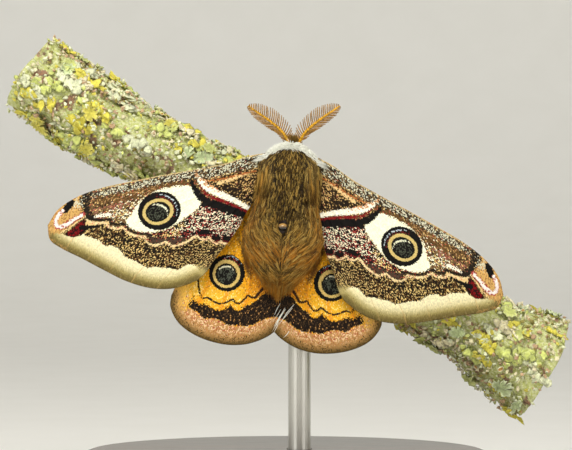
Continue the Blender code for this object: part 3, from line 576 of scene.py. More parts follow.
def coat_normal(z, turn):
    """The direction that points straight out of the coat there."""
    return unit(coat_point(z, turn, 0.5) - coat_point(z, turn, -0.5))


def ball(name, radii, centre, segments, rings):
    """A ball drawn out to three radii round a centre, in the moth's frame."""
    bpy.ops.mesh.primitive_uv_sphere_add(segments=segments, ring_count=rings, radius=MM)
    made = bpy.context.object
    made.name = name
    points = np.array([v.co for v in made.data.vertices]) / MM * radii + centre
    made.data.vertices.foreach_set("co", to_stand(points).astype(np.float32).ravel())
    return made


def cuticle(name, colour, roughness):
    material, tree, shader = new_finish(name, roughness=roughness, coat_weight=0.3, coat_roughness=0.2)
    place = put(tree, "TexCoord").outputs["Object"]
    pits = put(tree, "TexVoronoi", {"Vector": place, "Scale": 9000.0}).outputs["Distance"]
    cloud = cloudy(tree, place, 1500.0, 3.0)
    lighter = tint(*[min(255, 1.7 * c) for c in colour])
    tree.links.new(mixed(tree, cloud, tint(*colour), lighter), shader.inputs["Base Color"])
    raised(tree, shader, pits, 0.3, 0.00003)
    return material


def body_skin():
    heights = np.linspace(SKIN_TOP, SKIN_TAIL, SKIN_RINGS)
    heights, turns = np.meshgrid(heights, np.linspace(0, 2 * np.pi, SKIN_SIDES, endpoint=False),
                                 indexing="ij")
    trunk = coat_point(heights, turns, -SKIN_BELOW_TIPS).reshape(-1, 3)
    faces = [net(SKIN_RINGS, SKIN_SIDES, wrap=True), end_caps(SKIN_RINGS, SKIN_SIDES)]
    piece = as_piece("body_skin", to_stand(trunk), faces, cuticle("cuticle", CUTICLE, 0.45))
    head = ball("skin_of_head", HEAD_RADII, HEAD_CENTRE, 32, 20)
    bpy.ops.object.select_all(action="DESELECT")
    head.select_set(True)
    piece.select_set(True)
    bpy.context.view_layer.objects.active = piece
    bpy.ops.object.join()
    bpy.ops.object.mode_set(mode="EDIT")
    bpy.ops.mesh.select_all(action="SELECT")
    bpy.ops.mesh.normals_make_consistent(inside=False)
    bpy.ops.object.mode_set(mode="OBJECT")
    one = piece.modifiers.new("one_surface", "REMESH")
    one.mode = "VOXEL"
    one.voxel_size = 0.22 * MM
    soft = piece.modifiers.new("softened", "SMOOTH")
    soft.iterations = 4
    for step in ("one_surface", "softened"):
        bpy.ops.object.modifier_apply(modifier=step)
    bpy.ops.object.shade_smooth()
    bpy.ops.object.select_all(action="DESELECT")
    return piece


skin = body_skin()
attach(skin, "root")
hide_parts("head", "thorax", "abdomen")

# The coat: fine hair-like scales in tapered tufts over the whole body, gathered into locks. It is olive-brown
# and plush on the thorax, with paler locks sweeping back from the shoulders, golden-brown and long on the
# abdomen, where it runs together on the midline. Each tuft takes its colour from where it grows and from its
# lock. Over that lies painted light and shade: each tuft darkens towards its root, partly its own colour and
# partly painted shade, and each lock is painted lighter the higher it stands, darker at its edges and lighter
# towards the tail.
TUFT_TAPER = (0.8, 1.0, 0.6)
TUFT_STATIONS = np.array([0.0, 0.34, 0.7, 1.0])
WIDEST = TRUNK[:, 1].max()
BAKE_PATCH = 0.003
BARE_SPOT = (-0.19, -5.5)
BARE_REACH = 0.76
SIDE_HOLLOW = 0.3
LAYER_STEP = 0.11
COAT_TONES = ((54, 39, 14), (132, 104, 44), (208, 174, 92), (190, 138, 42), (234, 150, 32))
BRIGHTEST_HAIR = 0.6
PALE_SHARE = 0.28
WHOLE_LOCKS = 0.8


def hair(name):
    material, tree, shader = new_finish(name, roughness=0.65, specular_ior_level=0.25)
    paint = put(tree, "Attribute", attribute_name="paint").outputs["Color"]
    place = put(tree, "TexCoord").outputs["Object"]
    streak = cloudy(tree, place, 3200.0, 2.0)
    spread = ranged(tree, streak, 0.3, 0.7, 0.88, 1.1)
    shaded = put(tree, "VectorMath", {0: paint, 1: spread}, operation="MULTIPLY")
    tree.links.new(shaded.outputs[0], shader.inputs["Base Color"])
    return material


coat_finish = hair("hair_scales")


def lay_flat(piece, name, at):
    """Keeps a place on a flat map for each point of the piece, as a UV map of that name."""
    corners = np.zeros(len(piece.data.loops), np.int32)
    piece.data.loops.foreach_get("vertex_index", corners)
    piece.data.uv_layers.new(name=name).data.foreach_set("uv", at[corners].astype(np.float32).ravel())


def tufts(name, path, width, out, root_tone, tip_tone, patch, material=None):
    """Tufts in one mesh, each a three-sided lock that tapers along its own path, in the moth's frame."""
    many, stations = path.shape[:2]
    ahead = unit(np.gradient(path, axis=1))[:, :-1]
    across = unit(np.cross(ahead, out[:, None]))
    up = np.cross(across, ahead)
    half = (np.array(TUFT_TAPER[:stations - 1]) * width[:, None] / 2)[..., None]
    rings = np.stack([path[:, :-1] + across * half, path[:, :-1] + up * half, path[:, :-1] - across * half],
                     axis=2)
    places = np.concatenate([rings.reshape(many, -1, 3), path[:, -1:]], axis=1)
    size = places.shape[1]
    sides = net(stations - 1, 3, wrap=True)
    tip = size + np.array([(-4, -3, -1), (-3, -2, -1), (-2, -4, -1)])
    root = np.array([(2, 1, 0)])
    faces = copied([f[:, ::-1] for f in (sides, tip, root)], many, size)
    piece = as_piece(name, to_stand(places.reshape(-1, 3)), faces, material or coat_finish)
    share = np.append(np.repeat(np.arange(stations - 1), 3), stations - 1) / (stations - 1)
    # A tuft's colour runs from root_tone to tip_tone. Most callers give a darker root: partly the hair's own
    # darker base, partly painted shade deep in the coat.
    painted = root_tone[:, None] * (1 - share)[None, :, None] + tip_tone[:, None] * share[None, :, None]
    paint_over(piece, painted)
    corner = np.append(np.tile([0.1, 0.5, 0.9], stations - 1), 0.5)
    spread = np.stack([corner * np.ones(size), share], axis=1) * BAKE_PATCH
    lay_flat(piece, "OFBake", (patch[:, None] + spread[None]).reshape(-1, 2))
    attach(piece, "root")


def blend_tones(shares, light=1.0):
    """Rows of colour: the coat's tones weighted by each row of shares, times its light, kept off white."""
    colour = shares @ plain(COAT_TONES) / shares.sum(axis=1, keepdims=True) * light
    return colour / np.maximum(1.0, colour.max(axis=1, keepdims=True) / BRIGHTEST_HAIR)


def streaked(draw, shares, light, lock):
    """Colours for tufts of which some, mostly whole locks, are pale strands and the others are left deep."""
    whole = (draw.random(lock.max() + 1) < PALE_SHARE)[lock]
    pale = np.where(draw.random(len(lock)) < WHOLE_LOCKS, whole, draw.random(len(lock)) < PALE_SHARE)
    shares = shares * np.where(pale[:, None], [0.2, 0.8, 3.6, 1.0, 1.1], [1.9, 1.0, 0.35, 1.0, 1.0])
    return blend_tones(shares, (light * np.where(pale, 2.15, 0.58))[:, None])


def skin_patch(turn, z):
    """Where a place on the body lies on its unwrapped skin."""
    return np.stack([(turn / (2 * np.pi) + 0.5) % 1.0 * 0.99, (z + 16) / 24], axis=1)


def collar_edge(x):
    """Where the pale collar ends on the back of the thorax, as a z for each x."""
    return 4.72 - 0.15 * x ** 2


def thorax_tones(z, turn):
    """How much of each coat tone the thorax has there: its middle is darker, its shoulders paler."""
    shoulder = np.exp(-((np.abs(turn) - 1.0) / 0.4) ** 2) * np.clip((4.4 - z) / 1.5, 0, 1)
    # A dark line on either side, between the middle and the shoulders: painted shade where the two meet.
    groove_shade = np.exp(-((np.abs(turn) - 0.47) / 0.08) ** 2) * np.clip((z + 4) / 2, 0, 1)
    # The dark down the midline behind the collar, where the hair parts above the bare spot: painted shade in
    # that gap.
    hollow = np.exp(-(turn / (0.05 + 0.06 * np.clip(z + 5.5, 0, 4))) ** 2) * np.clip((-1.2 - z) / 1.2, 0, 1)
    return np.stack([1.15 - 0.8 * shoulder + 7.0 * groove_shade + 1.8 * hollow, 0.9 + 0 * z, 0.22 + 0.9 * shoulder,
                     0.2 + 0.15 * shoulder,
                     1.3 * np.clip(-z / 2, 0, 1) * np.clip(np.abs(turn) - 0.55, 0, 1)], axis=-1)


def cape_tones(z, turn):
    """The long locks that hang from the shoulders are paler, with orange at their ends."""
    orange = 0.05 + 0.7 * np.clip((0.3 - z) / 2, 0, 1)
    return np.stack([0.75 + 0 * z, 0.9 + 0 * z, 0.85 + 0 * z, 0.25 + 0 * z, orange], axis=-1)


def abdomen_tones(z, turn):
    """The abdomen is golden-brown, with orange down both sides and painted shade along its parting."""
    side = np.clip((np.abs(turn) - 0.6) / 0.5, 0, 1)
    # Painted shade: the coat is darkened along the midline, where the hair parts.
    parting = np.exp(-(turn / 0.13) ** 2)
    golden = np.exp(-((z + 9.4) / 0.9) ** 2) + np.clip((-11.9 - z) / 0.8, 0, 1)
    dark_tips = np.exp(-((z + 11.3) / 0.5) ** 2)
    return np.stack([0.45 + 2.4 * parting + 1.2 * dark_tips, 0.6 + 0 * z, 0.7 - 0.3 * side + 1.1 * golden,
                     0.7 + 0 * z, 0.05 + 1.0 * side + 3.0 * golden], axis=-1)


def locks(name, many, area, seed, length, width, lean, heights, gather, tones, per_lock):
    """Locks of tufts over an area: its lowest and highest z, its reach from mid-back, a strip left clear.

    A tuft follows the body back from its root, turned towards the midline by lean, and closes in on its
    lock."""
    draw = np.random.default_rng(seed)
    z, turn = draw.uniform(area[0], area[1], many), draw.uniform(-area[2], area[2], many)
    turn = np.sign(turn) * (area[3] + np.abs(turn) * (1 - area[3] / area[2]))
    keep = draw.random(many) < (np.interp(z, TRUNK[:, 0], TRUNK[:, 1]) / WIDEST) ** 0.7
    z, turn = z[keep], turn[keep]
    many = len(z)
    heads = many // per_lock
    head_z, head_turn = draw.uniform(area[0], area[1], heads), draw.uniform(-area[2], area[2], heads)
    away = (z[:, None] - head_z) ** 2 * 0.4 + ((turn[:, None] - head_turn) * 4.6) ** 2
    lock = np.argmin(away, axis=1)
    edge = np.sqrt(away.min(axis=1) / (0.4 * (area[1] - area[0]) * 9.2 * area[2] / heads))
    long = (length * draw.uniform(0.75, 1.2, heads))[lock] * draw.uniform(0.8, 1.1, many)
    angle = lean(head_z, head_turn)[lock] + draw.normal(0, 0.15, heads)[lock] + draw.normal(0, 0.05, many)
    share = TUFT_STATIONS
    pull = gather * share ** 1.2
    layer = draw.normal(0, 1, heads)
    lift = (LAYER_STEP * layer[lock])[:, None] * np.array([0.0, 1.0, 1.0, 0.8])
    lift = lift + draw.normal(0, 0.03, (many, 4))
    rise = np.array([heights[0], heights[1], (heights[1] + heights[2]) / 2, heights[2]]) + lift
    hollow = np.clip((np.abs(turn) - 0.7) / 0.5, 0, 1) * np.clip((z + 6.0) / 3, 0, 1) * SIDE_HOLLOW
    rise = rise - (hollow + 0.12 * edge)[:, None] * share
    bend = draw.normal(0, 0.1, heads)[lock][:, None] * np.sin(share * 3)
    back = np.cos(angle)[:, None] * long[:, None] * share
    zs = z[:, None] * (1 - pull) + head_z[lock][:, None] * pull - back
    girth = np.maximum(1.2, np.interp(zs, TRUNK[:, 0], TRUNK[:, 1:3].mean(axis=1)))
    inward = np.clip(head_turn[lock] / 0.2, -1, 1)[:, None]
    turns = (turn[:, None] * (1 - pull) + head_turn[lock][:, None] * pull
             - inward * np.sin(angle)[:, None] * long[:, None] * share / girth + bend / girth)
    half = np.sign(head_turn)[lock][:, None]
    seam = 0.05 * np.sin(2.1 * zs) + draw.normal(0, 0.05, heads)[lock][:, None] - 0.03 * half
    turns = np.where(zs < BARE_SPOT[1] + 1, seam + half * np.maximum(half * (turns - seam), 0.0), turns)
    rise = rise - 0.2 * np.exp(-(turns / 0.1) ** 2) * (zs < BARE_SPOT[1]) * np.array([0, 1, 1, 1])
    path = coat_point(zs, turns, rise)
    seen_z, seen_turn = zs[:, 2], turns[:, 2]
    clear = np.hypot(path[..., 0] - BARE_SPOT[0], path[..., 2] - BARE_SPOT[1]).min(axis=1) > BARE_REACH
    clear &= path[:, 0, 2] < collar_edge(path[:, 0, 0]) + draw.normal(0, 0.1, many)
    path, z, turn, lock, edge = path[clear], z[clear], turn[clear], lock[clear], edge[clear]
    seen_z, seen_turn = seen_z[clear], seen_turn[clear]
    out = coat_normal(z, turn)
    weights = (tones(seen_z, seen_turn) * (draw.uniform(0.1, 1, (heads, 5)) ** 1.5)[lock]
               * draw.uniform(0.5, 1, (len(z), 5)))
    # Painted light and shade: a lock that stands higher is painted lighter and a lower one darker, over the
    # random tone of each lock and tuft.
    light = np.exp(draw.normal(-0.02, 0.3, heads) + 0.3 * layer)[lock] * np.exp(draw.normal(0, 0.25, len(z)))
    # Painted shade darkens each lock towards its edges, in the gaps between locks. Painted light lifts the
    # locks near the tail up to 1.6 times, where the abdomen shades them.
    light = light * np.clip(1.25 - 0.7 * edge, 0.4, 1.2) * np.interp(z, [-11.4, -9.6], [1.6, 1.0])
    tip = streaked(draw, weights, light, lock)
    width = width * draw.uniform(0.7, 1.3, len(z))
    # Each root is painted at 0.3 of its tip: partly the hair's darker base, partly painted shade deep in the
    # coat.
    tufts(name, path, width, out, tip * 0.3, tip, skin_patch(turn, z))


def down_and_out(z, turn):
    """Hair from the shoulders hangs back and a little outwards, over the roots of the wings."""
    return -0.16 + 0 * z


def to_midline(z, turn):
    """On the abdomen hair leans in to meet on the midline; on the thorax it sweeps out over the wings."""
    side = np.clip(np.abs(turn) / 0.35, 0, 1)
    in_turn = 0.5 * side * np.clip((2.0 - np.abs(turn)) / 0.9, 0.1, 1)
    return np.where(z < -3.6, in_turn * np.clip((-3.2 - z) / 1.5, 0, 1), -0.2 * side * (np.abs(turn) > 0.6))


locks("coat_thorax_plush", 10800, (-5.0, 4.9, 0.6, 0.0), 21, 0.95, 0.095, to_midline, (-0.8, -0.1, 0.0), 0.15,
      thorax_tones, 2)
locks("coat_shoulder_capes", 4000, (1.6, 4.3, 1.25, 0.5), 25, 3.7, 0.105, down_and_out, (-0.6, 0.1, 0.12),
      0.6, cape_tones, 8)
locks("coat_thorax_sides", 10600, (-4.8, 4.4, 1.75, 0.4), 22, 2.2, 0.1, to_midline, (-0.9, -0.15, -0.15), 0.5,
      thorax_tones, 4)
locks("coat_abdomen_upper", 12400, (-9.0, -3.8, 1.7, 0.0), 23, 2.5, 0.105, to_midline, (-0.85, -0.12, -0.12),
      0.5, abdomen_tones, 4)
locks("coat_abdomen_lower", 10600, (-11.4, -8.4, 1.9, 0.0), 24, 1.8, 0.1, to_midline, (-0.8, -0.12, 0.0), 0.4,
      abdomen_tones, 4)

# The pale collar: a dense white plush along the front edge of the thorax, from one wing's root over to the
# other's. Its tufts stand out from the skin and lean back a little, over the darker coat behind them.
HAIR_STATIONS = np.array([0.0, 0.4, 0.75, 1.0])
COLLAR_TUFTS = 9000
COLLAR_WHITE = (255, 255, 244)
white_plush = hair("white_plush")


def collar():
    draw = np.random.default_rng(31)
    z, turn = draw.uniform(1.6, 5.45, COLLAR_TUFTS * 2), draw.uniform(-2.2, 2.2, COLLAR_TUFTS * 2)
    turn = turn * np.where(z > 4.6, 1.42, 1.0)
    root = coat_point(z, turn, -0.75)
    front = z - collar_edge(root[:, 0]) + draw.normal(0, 0.1, len(z))
    kept = np.flatnonzero(front > 0)[:COLLAR_TUFTS]
    z, turn, root, front = z[kept], turn[kept], root[kept], front[kept]
    out = coat_normal(z, turn)
    back = np.clip(0.9 - front, -0.1, 0.9)[:, None] * np.array([0.0, -0.25, -0.75])
    ahead = unit(out + back + draw.normal(0, 0.25, root.shape))
    long = (0.78 + 0.2 * draw.random(len(z)))[:, None, None]
    share = HAIR_STATIONS[None, :, None]
    path = root[:, None] + ahead[:, None] * long * share
    tip = np.where(np.abs(turn)[:, None] < 2.3, tint(*COLLAR_WHITE)[:3], tint(*COAT_TONES[1])[:3])
    tip = tip * draw.uniform(0.92, 1.0, (len(z), 1))
    width = 0.125 * draw.uniform(0.7, 1.2, len(z))
    tufts("coat_collar", path, width, out, tip, tip, skin_patch(turn, z), white_plush)


collar()

# Long loose locks of the coat's own hair lie over the roots of the wings: olive ones over the forewings,
# golden ones over the hindwings. White ones carry the collar out over the wings, a fringe closes the gap
# behind the tail, and a few long white hairs stand out beyond it.
SHOULDER_TUFTS = 2200
FLANK_TUFTS = 2600
TAIL_TUFTS = 3000
VEIL_TUFTS = 1500
COLLAR_ENDS = 420
WHITE_ONLY = None
HEM_STEPS = (0.0, 1.1, 1.9, 2.6, 4.6, 6.0)
HEM_LEVELS = (-15.1, -13.9, -13.2, -12.0, -11.2, -9.6)
STRAY_HAIRS = [((1.11, 0.95, -16.0), (-0.39, 1.15, -19.55)), ((1.2, 0.95, -16.2), (-0.1, 1.15, -19.1)),
               ((1.0, 0.95, -16.3), (-0.2, 1.15, -18.9)), ((2.2, 0.95, -15.4), (0.31, 1.15, -18.6)),
               ((2.1, 0.95, -15.9), (0.45, 1.15, -18.2)), ((0.4, 0.95, -15.5), (-0.35, 1.15, -17.4)),
               ((0.6, 0.95, -16.3), (-0.3, 1.15, -18.1)), ((0.5, 1.0, -18.0), (-0.1, 1.1, -19.6)),
               ((1.9, 1.0, -19.0), (1.2, 1.05, -20.0))]


def over_wings(name, start, finish, lift, width, tones, seed, gather=0.5, per_lock=14, bright=1.0):
    """Tufts from start points to finish points, arched over the wing between, in locks of near neighbours."""
    draw = np.random.default_rng(seed)
    many = len(start)
    heads = many // per_lock
    seat = start[draw.choice(many, heads, replace=False)]
    lock = np.argmin(((start[:, None] - seat[None]) ** 2).sum(axis=2), axis=1)
    aim = np.stack([np.bincount(lock, finish[:, k], heads) for k in range(3)], axis=1)
    aim = aim / np.maximum(np.bincount(lock, minlength=heads), 1)[:, None]
    share = np.array([0.0, 0.36, 0.72, 1.0])[None, :, None]
    tip = finish * (1 - gather) + aim[lock] * gather
    path = start[:, None] * (1 - share) + tip[:, None] * share
    path = path + TO_FRONT * lift * 4 * share * (1 - share) + draw.normal(0, 0.035, path.shape)
    if tones is WHITE_ONLY:
        colour = np.tile(tint(*COLLAR_WHITE)[:3], (many, 1)) * draw.uniform(0.85, 1.0, (many, 1))
    else:
        weights = tones * (draw.uniform(0.1, 1, (heads, 5)) ** 1.5)[lock] * draw.uniform(0.4, 1, (many, 5))
        # A factor above 1 makes these locks lighter than their own tone: painted light where the body shades
        # them.
        light = bright * np.exp(draw.normal(0, 0.35, heads))[lock] * np.exp(draw.normal(0, 0.35, many))
        colour = streaked(draw, weights, light, lock)
    out = np.tile(TO_FRONT, (many, 1))
    patch = skin_patch(np.clip(start[:, 0] / 4.4, -1.6, 1.6), start[:, 2])
    # Roots are painted at 0.4 of the tip, or 0.85 for white hair: partly the hair's darker base, partly
    # painted shade under the locks.
    root = colour * (0.85 if tones is WHITE_ONLY else 0.4)
    tufts(name, path, width * draw.uniform(0.7, 1.25, many), out, root, colour, patch)


def hem(x):
    """How far back the coat reaches over the hindwings, as a z for each x: to a point below the tail."""
    return np.interp(np.abs(x), HEM_STEPS, HEM_LEVELS)


def golden_below(z, shares):
    """Shares of the coat's tones for tufts that end at z: there is more orange towards the tail."""
    gold = np.clip((-8.0 - z) / 3, 0, 1)[:, None]
    return np.array(shares) + gold * [-0.3, -0.1, 0.6, 0.2, 1.6]


def wing_locks():
    draw = np.random.default_rng(35)
    for name, sign in (("left", -1.0), ("right", 1.0)):
        z = draw.uniform(-3.6, 2.9, SHOULDER_TUFTS)
        start = coat_point(z, sign * draw.uniform(0.95, 1.35, SHOULDER_TUFTS), -0.45)
        slant = draw.uniform(-0.3, 0.9, SHOULDER_TUFTS) * np.clip((3.8 - z) / 3, 0.3, 1)
        finish = np.stack([start[:, 0] + sign * (0.35 + slant), -0.35 + 0.25 * draw.random(SHOULDER_TUFTS),
                           z - draw.uniform(1.6, 3.1, SHOULDER_TUFTS)], axis=1)
        z = draw.uniform(3.1, 3.9, COLLAR_ENDS)
        near = coat_point(z, sign * draw.uniform(0.9, 1.5, COLLAR_ENDS), -0.5)
        reach = draw.random(COLLAR_ENDS)[:, None] ** 2.5
        far = near + [sign * 0.3, -0.1, -0.1] + reach * [sign * 2.0, 0.1, -0.7]
        far = far + draw.normal(0, 0.1, near.shape)
        over_wings("coat_collar_" + name, near, far, 0.12, 0.085, WHITE_ONLY, 66 + int(sign), 0.3, 6)
        over_wings("coat_shoulder_" + name, start, finish, 0.3, 0.1, [0.45, 0.9, 0.6, 0.5, 0.2],
                   36 + int(sign))
        z = draw.uniform(-9.4, -3.2, FLANK_TUFTS)
        start = coat_point(z, sign * draw.uniform(0.8, 1.35, FLANK_TUFTS), -0.35)
        sweep = draw.uniform(-0.9, 0.5, FLANK_TUFTS) + 0.4 * np.clip((-4.5 - z) / 2, 0, 1)
        sweep = sweep - 0.18 * np.clip(-6 - z, 0, 4)
        x = start[:, 0] + sign * sweep
        low = z - draw.uniform(1.8, 3.6, FLANK_TUFTS)
        low = np.maximum(low, hem(x) + draw.normal(0.2, 0.35, FLANK_TUFTS))
        finish = np.stack([x, 0.6 + 0.0 * z, low], axis=1)
        tones = golden_below(low, [0.35, 0.3, 0.25, 0.8, 1.2])
        over_wings("coat_flank_" + name, start, finish, 0.35, 0.1, tones, 46 + int(sign))
        z = draw.uniform(-13.0, -5.0, VEIL_TUFTS)
        x = draw.uniform(0.2, 1.0, VEIL_TUFTS) ** 0.7 * np.interp(z, [-13.0, -9.0, -5.0], [3.6, 5.4, 5.4])
        z = np.maximum(z, hem(x) + 0.9)
        start = np.stack([sign * x, 1.25 + 0.0 * z, z], axis=1)
        sweep = -0.25 * x + draw.normal(0, 0.15, VEIL_TUFTS)
        low = np.maximum(z - draw.uniform(1.4, 2.6, VEIL_TUFTS), hem(x) + draw.normal(0.0, 0.35, VEIL_TUFTS))
        finish = np.stack([sign * (x + sweep), 1.0 + 0.0 * z, low], axis=1)
        tones = golden_below(low, [0.4, 0.4, 0.2, 0.9, 1.2])
        # The veil is painted a little lighter: painted light where the abdomen shades it.
        over_wings("coat_veil_" + name, start, finish, 0.12, 0.09, tones, 76 + int(sign), bright=1.2)
    z = draw.uniform(-12.6, -10.4, TAIL_TUFTS)
    start = coat_point(z, draw.uniform(-1.5, 1.5, TAIL_TUFTS), -0.2)
    x = start[:, 0] * draw.uniform(0.3, 1.2, TAIL_TUFTS)
    finish = np.stack([x, 0.2 + 0.15 * np.abs(x), hem(x) + draw.normal(0.1, 0.55, TAIL_TUFTS)], axis=1)
    # The tail fringe is painted three times lighter: painted light where the abdomen shades it.
    over_wings("coat_tail", start, finish, 0.25, 0.1, [0.1, 0.2, 1.4, 0.9, 3.2], 56, 0.4, 7, 3.0)
    start, finish = np.moveaxis(np.array(STRAY_HAIRS), 1, 0)
    over_wings("coat_stray_hairs", start, finish, 0.1, 0.1, WHITE_ONLY, 58, gather=0.0, per_lock=1)


wing_locks()

# The underside of the body: shorter hair of pale olive and grey on the breast and belly. It grows from the
# same skin as the coat above and lies straight back.
UNDERSIDE_TUFTS = 7200


def underside():
    draw = np.random.default_rng(41)
    z = draw.uniform(-11.0, 4.9, UNDERSIDE_TUFTS)
    turn = math.pi + draw.uniform(-1.5, 1.5, UNDERSIDE_TUFTS) * np.where(z > 3.4, 0.75, 1.0)
    keep = draw.random(len(z)) < np.interp(z, TRUNK[:, 0], TRUNK[:, 1]) / WIDEST
    z, turn = z[keep], turn[keep]
    long = draw.uniform(1.4, 2.2, len(z))
    share = TUFT_STATIONS
    zs = z[:, None] - long[:, None] * share
    turns = turn[:, None] + draw.normal(0, 0.1, (len(z), 1)) * share ** 2
    rise = np.array([-0.85, -0.3, -0.05, 0.05]) + draw.normal(0, 0.06, (len(z), 4))
    path = coat_point(zs, turns, rise)
    out = coat_normal(z, turn)
    weights = draw.uniform(0.05, 1, (len(z), 5)) * [0.3, 0.8, 1.0, 0.3, 0.05]
    tip = blend_tones(weights, draw.uniform(0.7, 1.2, (len(z), 1)))
    width = 0.13 * draw.uniform(0.7, 1.2, len(z))
    # Roots are painted at 0.4 of the tip: partly the hair's darker base, partly painted shade under the hair.
    tufts("coat_underside", path, width, out, tip * 0.4, tip, skin_patch(turn, z))


underside()

# The bare spot between thorax and abdomen: a bead of polished dark cuticle that the parted hair leaves open.
# It is set in the skin a little left of the midline, and its top is painted amber above the dark: painted
# light from above.
BEAD_RADII = [0.66, 0.55, 0.5]
WIDE_AT_BEAD = 5.1
bead_seat = coat_point(np.array(BARE_SPOT[1]), np.array(math.asin(BARE_SPOT[0] / WIDE_AT_BEAD)), -0.4)
bead = ball("bare_spot", BEAD_RADII, bead_seat, 32, 20)
polish, tree, shader = new_finish("polished_cuticle", roughness=0.08, coat_weight=0.5, coat_roughness=0.04)
bead_height = put(tree, "SeparateXYZ", {0: put(tree, "TexCoord").outputs["Object"]}).outputs[2]
bead_level = float(to_stand(bead_seat)[2])
# Painted light: the bead's top is painted amber, fading to dark cuticle below, as if lit from above.
amber = ranged(tree, bead_height, bead_level - 0.1 * MM, bead_level + 0.35 * MM)
tree.links.new(mixed(tree, amber, tint(34, 28, 22), tint(184, 140, 76)), shader.inputs["Base Color"])
bead.data.materials.append(polish)
bpy.ops.object.shade_smooth()
bpy.ops.object.select_all(action="DESELECT")
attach(bead, "root")

# The head: two black compound eyes of fine round facets, a short hairy face with two palps, and a tuft of
# brown hair between the feelers.
EYE_CENTRE = np.array([1.3, 3.7, 4.6])
EYE_RADII = [0.82, 0.84, 0.85]
CLEAR_OF_EYE = 0.95
FACE_TUFTS = 2600
PALP_TUFTS = 520


def compound_eye():
    material, tree, shader = new_finish("compound_eye", roughness=0.18, coat_weight=0.6, coat_roughness=0.08)
    place = put(tree, "TexCoord").outputs["Object"]
    facet = put(tree, "TexVoronoi", {"Vector": place, "Scale": 15000.0,
                                     "Randomness": 0.2}).outputs["Distance"]
    cloud = cloudy(tree, place, 2500.0, 2.0)
    tree.links.new(mixed(tree, cloud, tint(12, 9, 8), tint(40, 28, 20)), shader.inputs["Base Color"])
    raised(tree, shader, facet, 1.0, 0.00006, invert=True)
    return material


eye_finish = compound_eye()
for side, sign in (("left", -1), ("right", 1)):
    eye = ball("eyeball_" + side, EYE_RADII, EYE_CENTRE * [sign, 1, 1], 48, 32)
    eye.data.materials.append(eye_finish)
    bpy.ops.object.shade_smooth()
    bpy.ops.object.select_all(action="DESELECT")
    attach(eye, "root")
    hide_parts("eye_" + side)


def face():
    draw = np.random.default_rng(51)
    way = unit(draw.normal(0, 1, (FACE_TUFTS * 2, 3)))
    root = HEAD_CENTRE + way * HEAD_RADII
    outside = np.linalg.norm(root - EYE_CENTRE, axis=1) > CLEAR_OF_EYE
    outside &= np.linalg.norm(root - EYE_CENTRE * [-1, 1, 1], axis=1) > CLEAR_OF_EYE
    root, way = root[outside][:FACE_TUFTS], way[outside][:FACE_TUFTS]
    down = unit(np.array([0.0, 0.55, -0.6]) + draw.normal(0, 0.25, root.shape))
    up = np.array([0.0, -0.3, 1.0]) + draw.normal(0, 0.25, root.shape)
    crest = np.clip((root[:, 2] - 5.0) / 0.5, 0, 1)[:, None] * (np.abs(root[:, :1]) < 0.9)
    ahead = unit(way * 0.5 + down * (1 - crest) + up * crest)
    long = draw.uniform(0.45, 0.8, len(root)) + 0.45 * crest[:, 0]
    share = HAIR_STATIONS[None, :, None]
    path = root[:, None] + ahead[:, None] * long[:, None, None] * share
    weights = draw.uniform(0.05, 1, (len(root), 5)) * [0.8, 1.0, 0.4, 0.3, 0.05]
    tip = blend_tones(weights, draw.uniform(0.7, 1.2, (len(root), 1)))
    patch = np.stack([0.5 + 0.09 * way[:, 0], 0.93 + 0.03 * way[:, 1]], axis=1)
    # Roots are painted at 0.4 of the tip: partly the hair's darker base, partly painted shade under the hair.
    tufts("coat_face", path, 0.09 * draw.uniform(0.7, 1.2, len(root)), way, tip * 0.4, tip, patch)
    many = PALP_TUFTS
    side = np.repeat([-1.0, 1.0], many // 2)
    start = side[:, None] * [0.5, 0, 0] + [0, 4.5, 4.3] + draw.normal(0, 0.14, (many, 3))
    reach = side[:, None] * [0.1, 0, 0] + [0, 0.75, -1.05] + draw.normal(0, 0.14, (many, 3))
    path = start[:, None] + reach[:, None] * share + np.array([0.0, 0.1, -0.25])[None, None] * share ** 2
    tip = blend_tones(draw.uniform(0.05, 1, (many, 5)) * [0.5, 1.0, 0.7, 0.5, 0.1])
    patch = np.stack([0.5 + 0.02 * side + draw.uniform(0, 0.02, many), draw.uniform(0.97, 0.99, many)],
                     axis=1)
    out = np.tile([0.0, 1.0, 0.3], (many, 1))
    # Roots are painted at 0.4 of the tip: partly the hair's darker base, partly painted shade under the hair.
    tufts("palps", path, 0.1 * draw.uniform(0.7, 1.2, many), out, tip * 0.4, tip, patch)


face()

# The legs: six short jointed legs of brown cuticle, thick and woolly down to the shin, with a slender foot of
# five joints and two hooked claws that holds the bark. Root, knee and heel, then where ankle and toe lie on
# the bark.
LEG_RADII = (0.5, 0.5, 0.36, 0.2, 0.15)
LEGS = {
    "leg_right_front": ([(1.2, 3.5, 2.0), (2.8, 5.0, 2.9), (4.4, 5.6, 1.0)], [(4.6, -1.2), (5.3, -3.4)]),
    "leg_right_mid": ([(1.4, 3.7, 0.5), (3.8, 4.6, 0.2), (5.8, 5.0, -2.4)], [(6.3, -4.8), (7.3, -6.6)]),
    "leg_right_hind": ([(1.4, 3.3, -1.4), (3.6, 3.9, -3.4), (5.2, 4.3, -7.0)], [(6.4, -9.0), (7.6, -10.6)]),
    "leg_left_front": ([(-1.2, 3.5, 2.0), (-2.9, 5.0, 3.2), (-4.8, 5.6, 2.4)], [(-6.2, 1.2), (-7.3, -0.2)]),
    "leg_left_mid": ([(-1.4, 3.7, 0.5), (-3.6, 4.6, 1.0), (-5.1, 4.9, -0.6)], [(-5.3, -2.4), (-6.1, -3.9)]),
    "leg_left_hind": ([(-1.4, 3.3, -1.4), (-3.1, 3.9, -3.4), (-4.0, 4.4, -6.0)],
                      [(-3.4, -7.6), (-3.7, -9.0)]),
}
FOOT_LIFT = 0.12
LEG_RINGS = 60
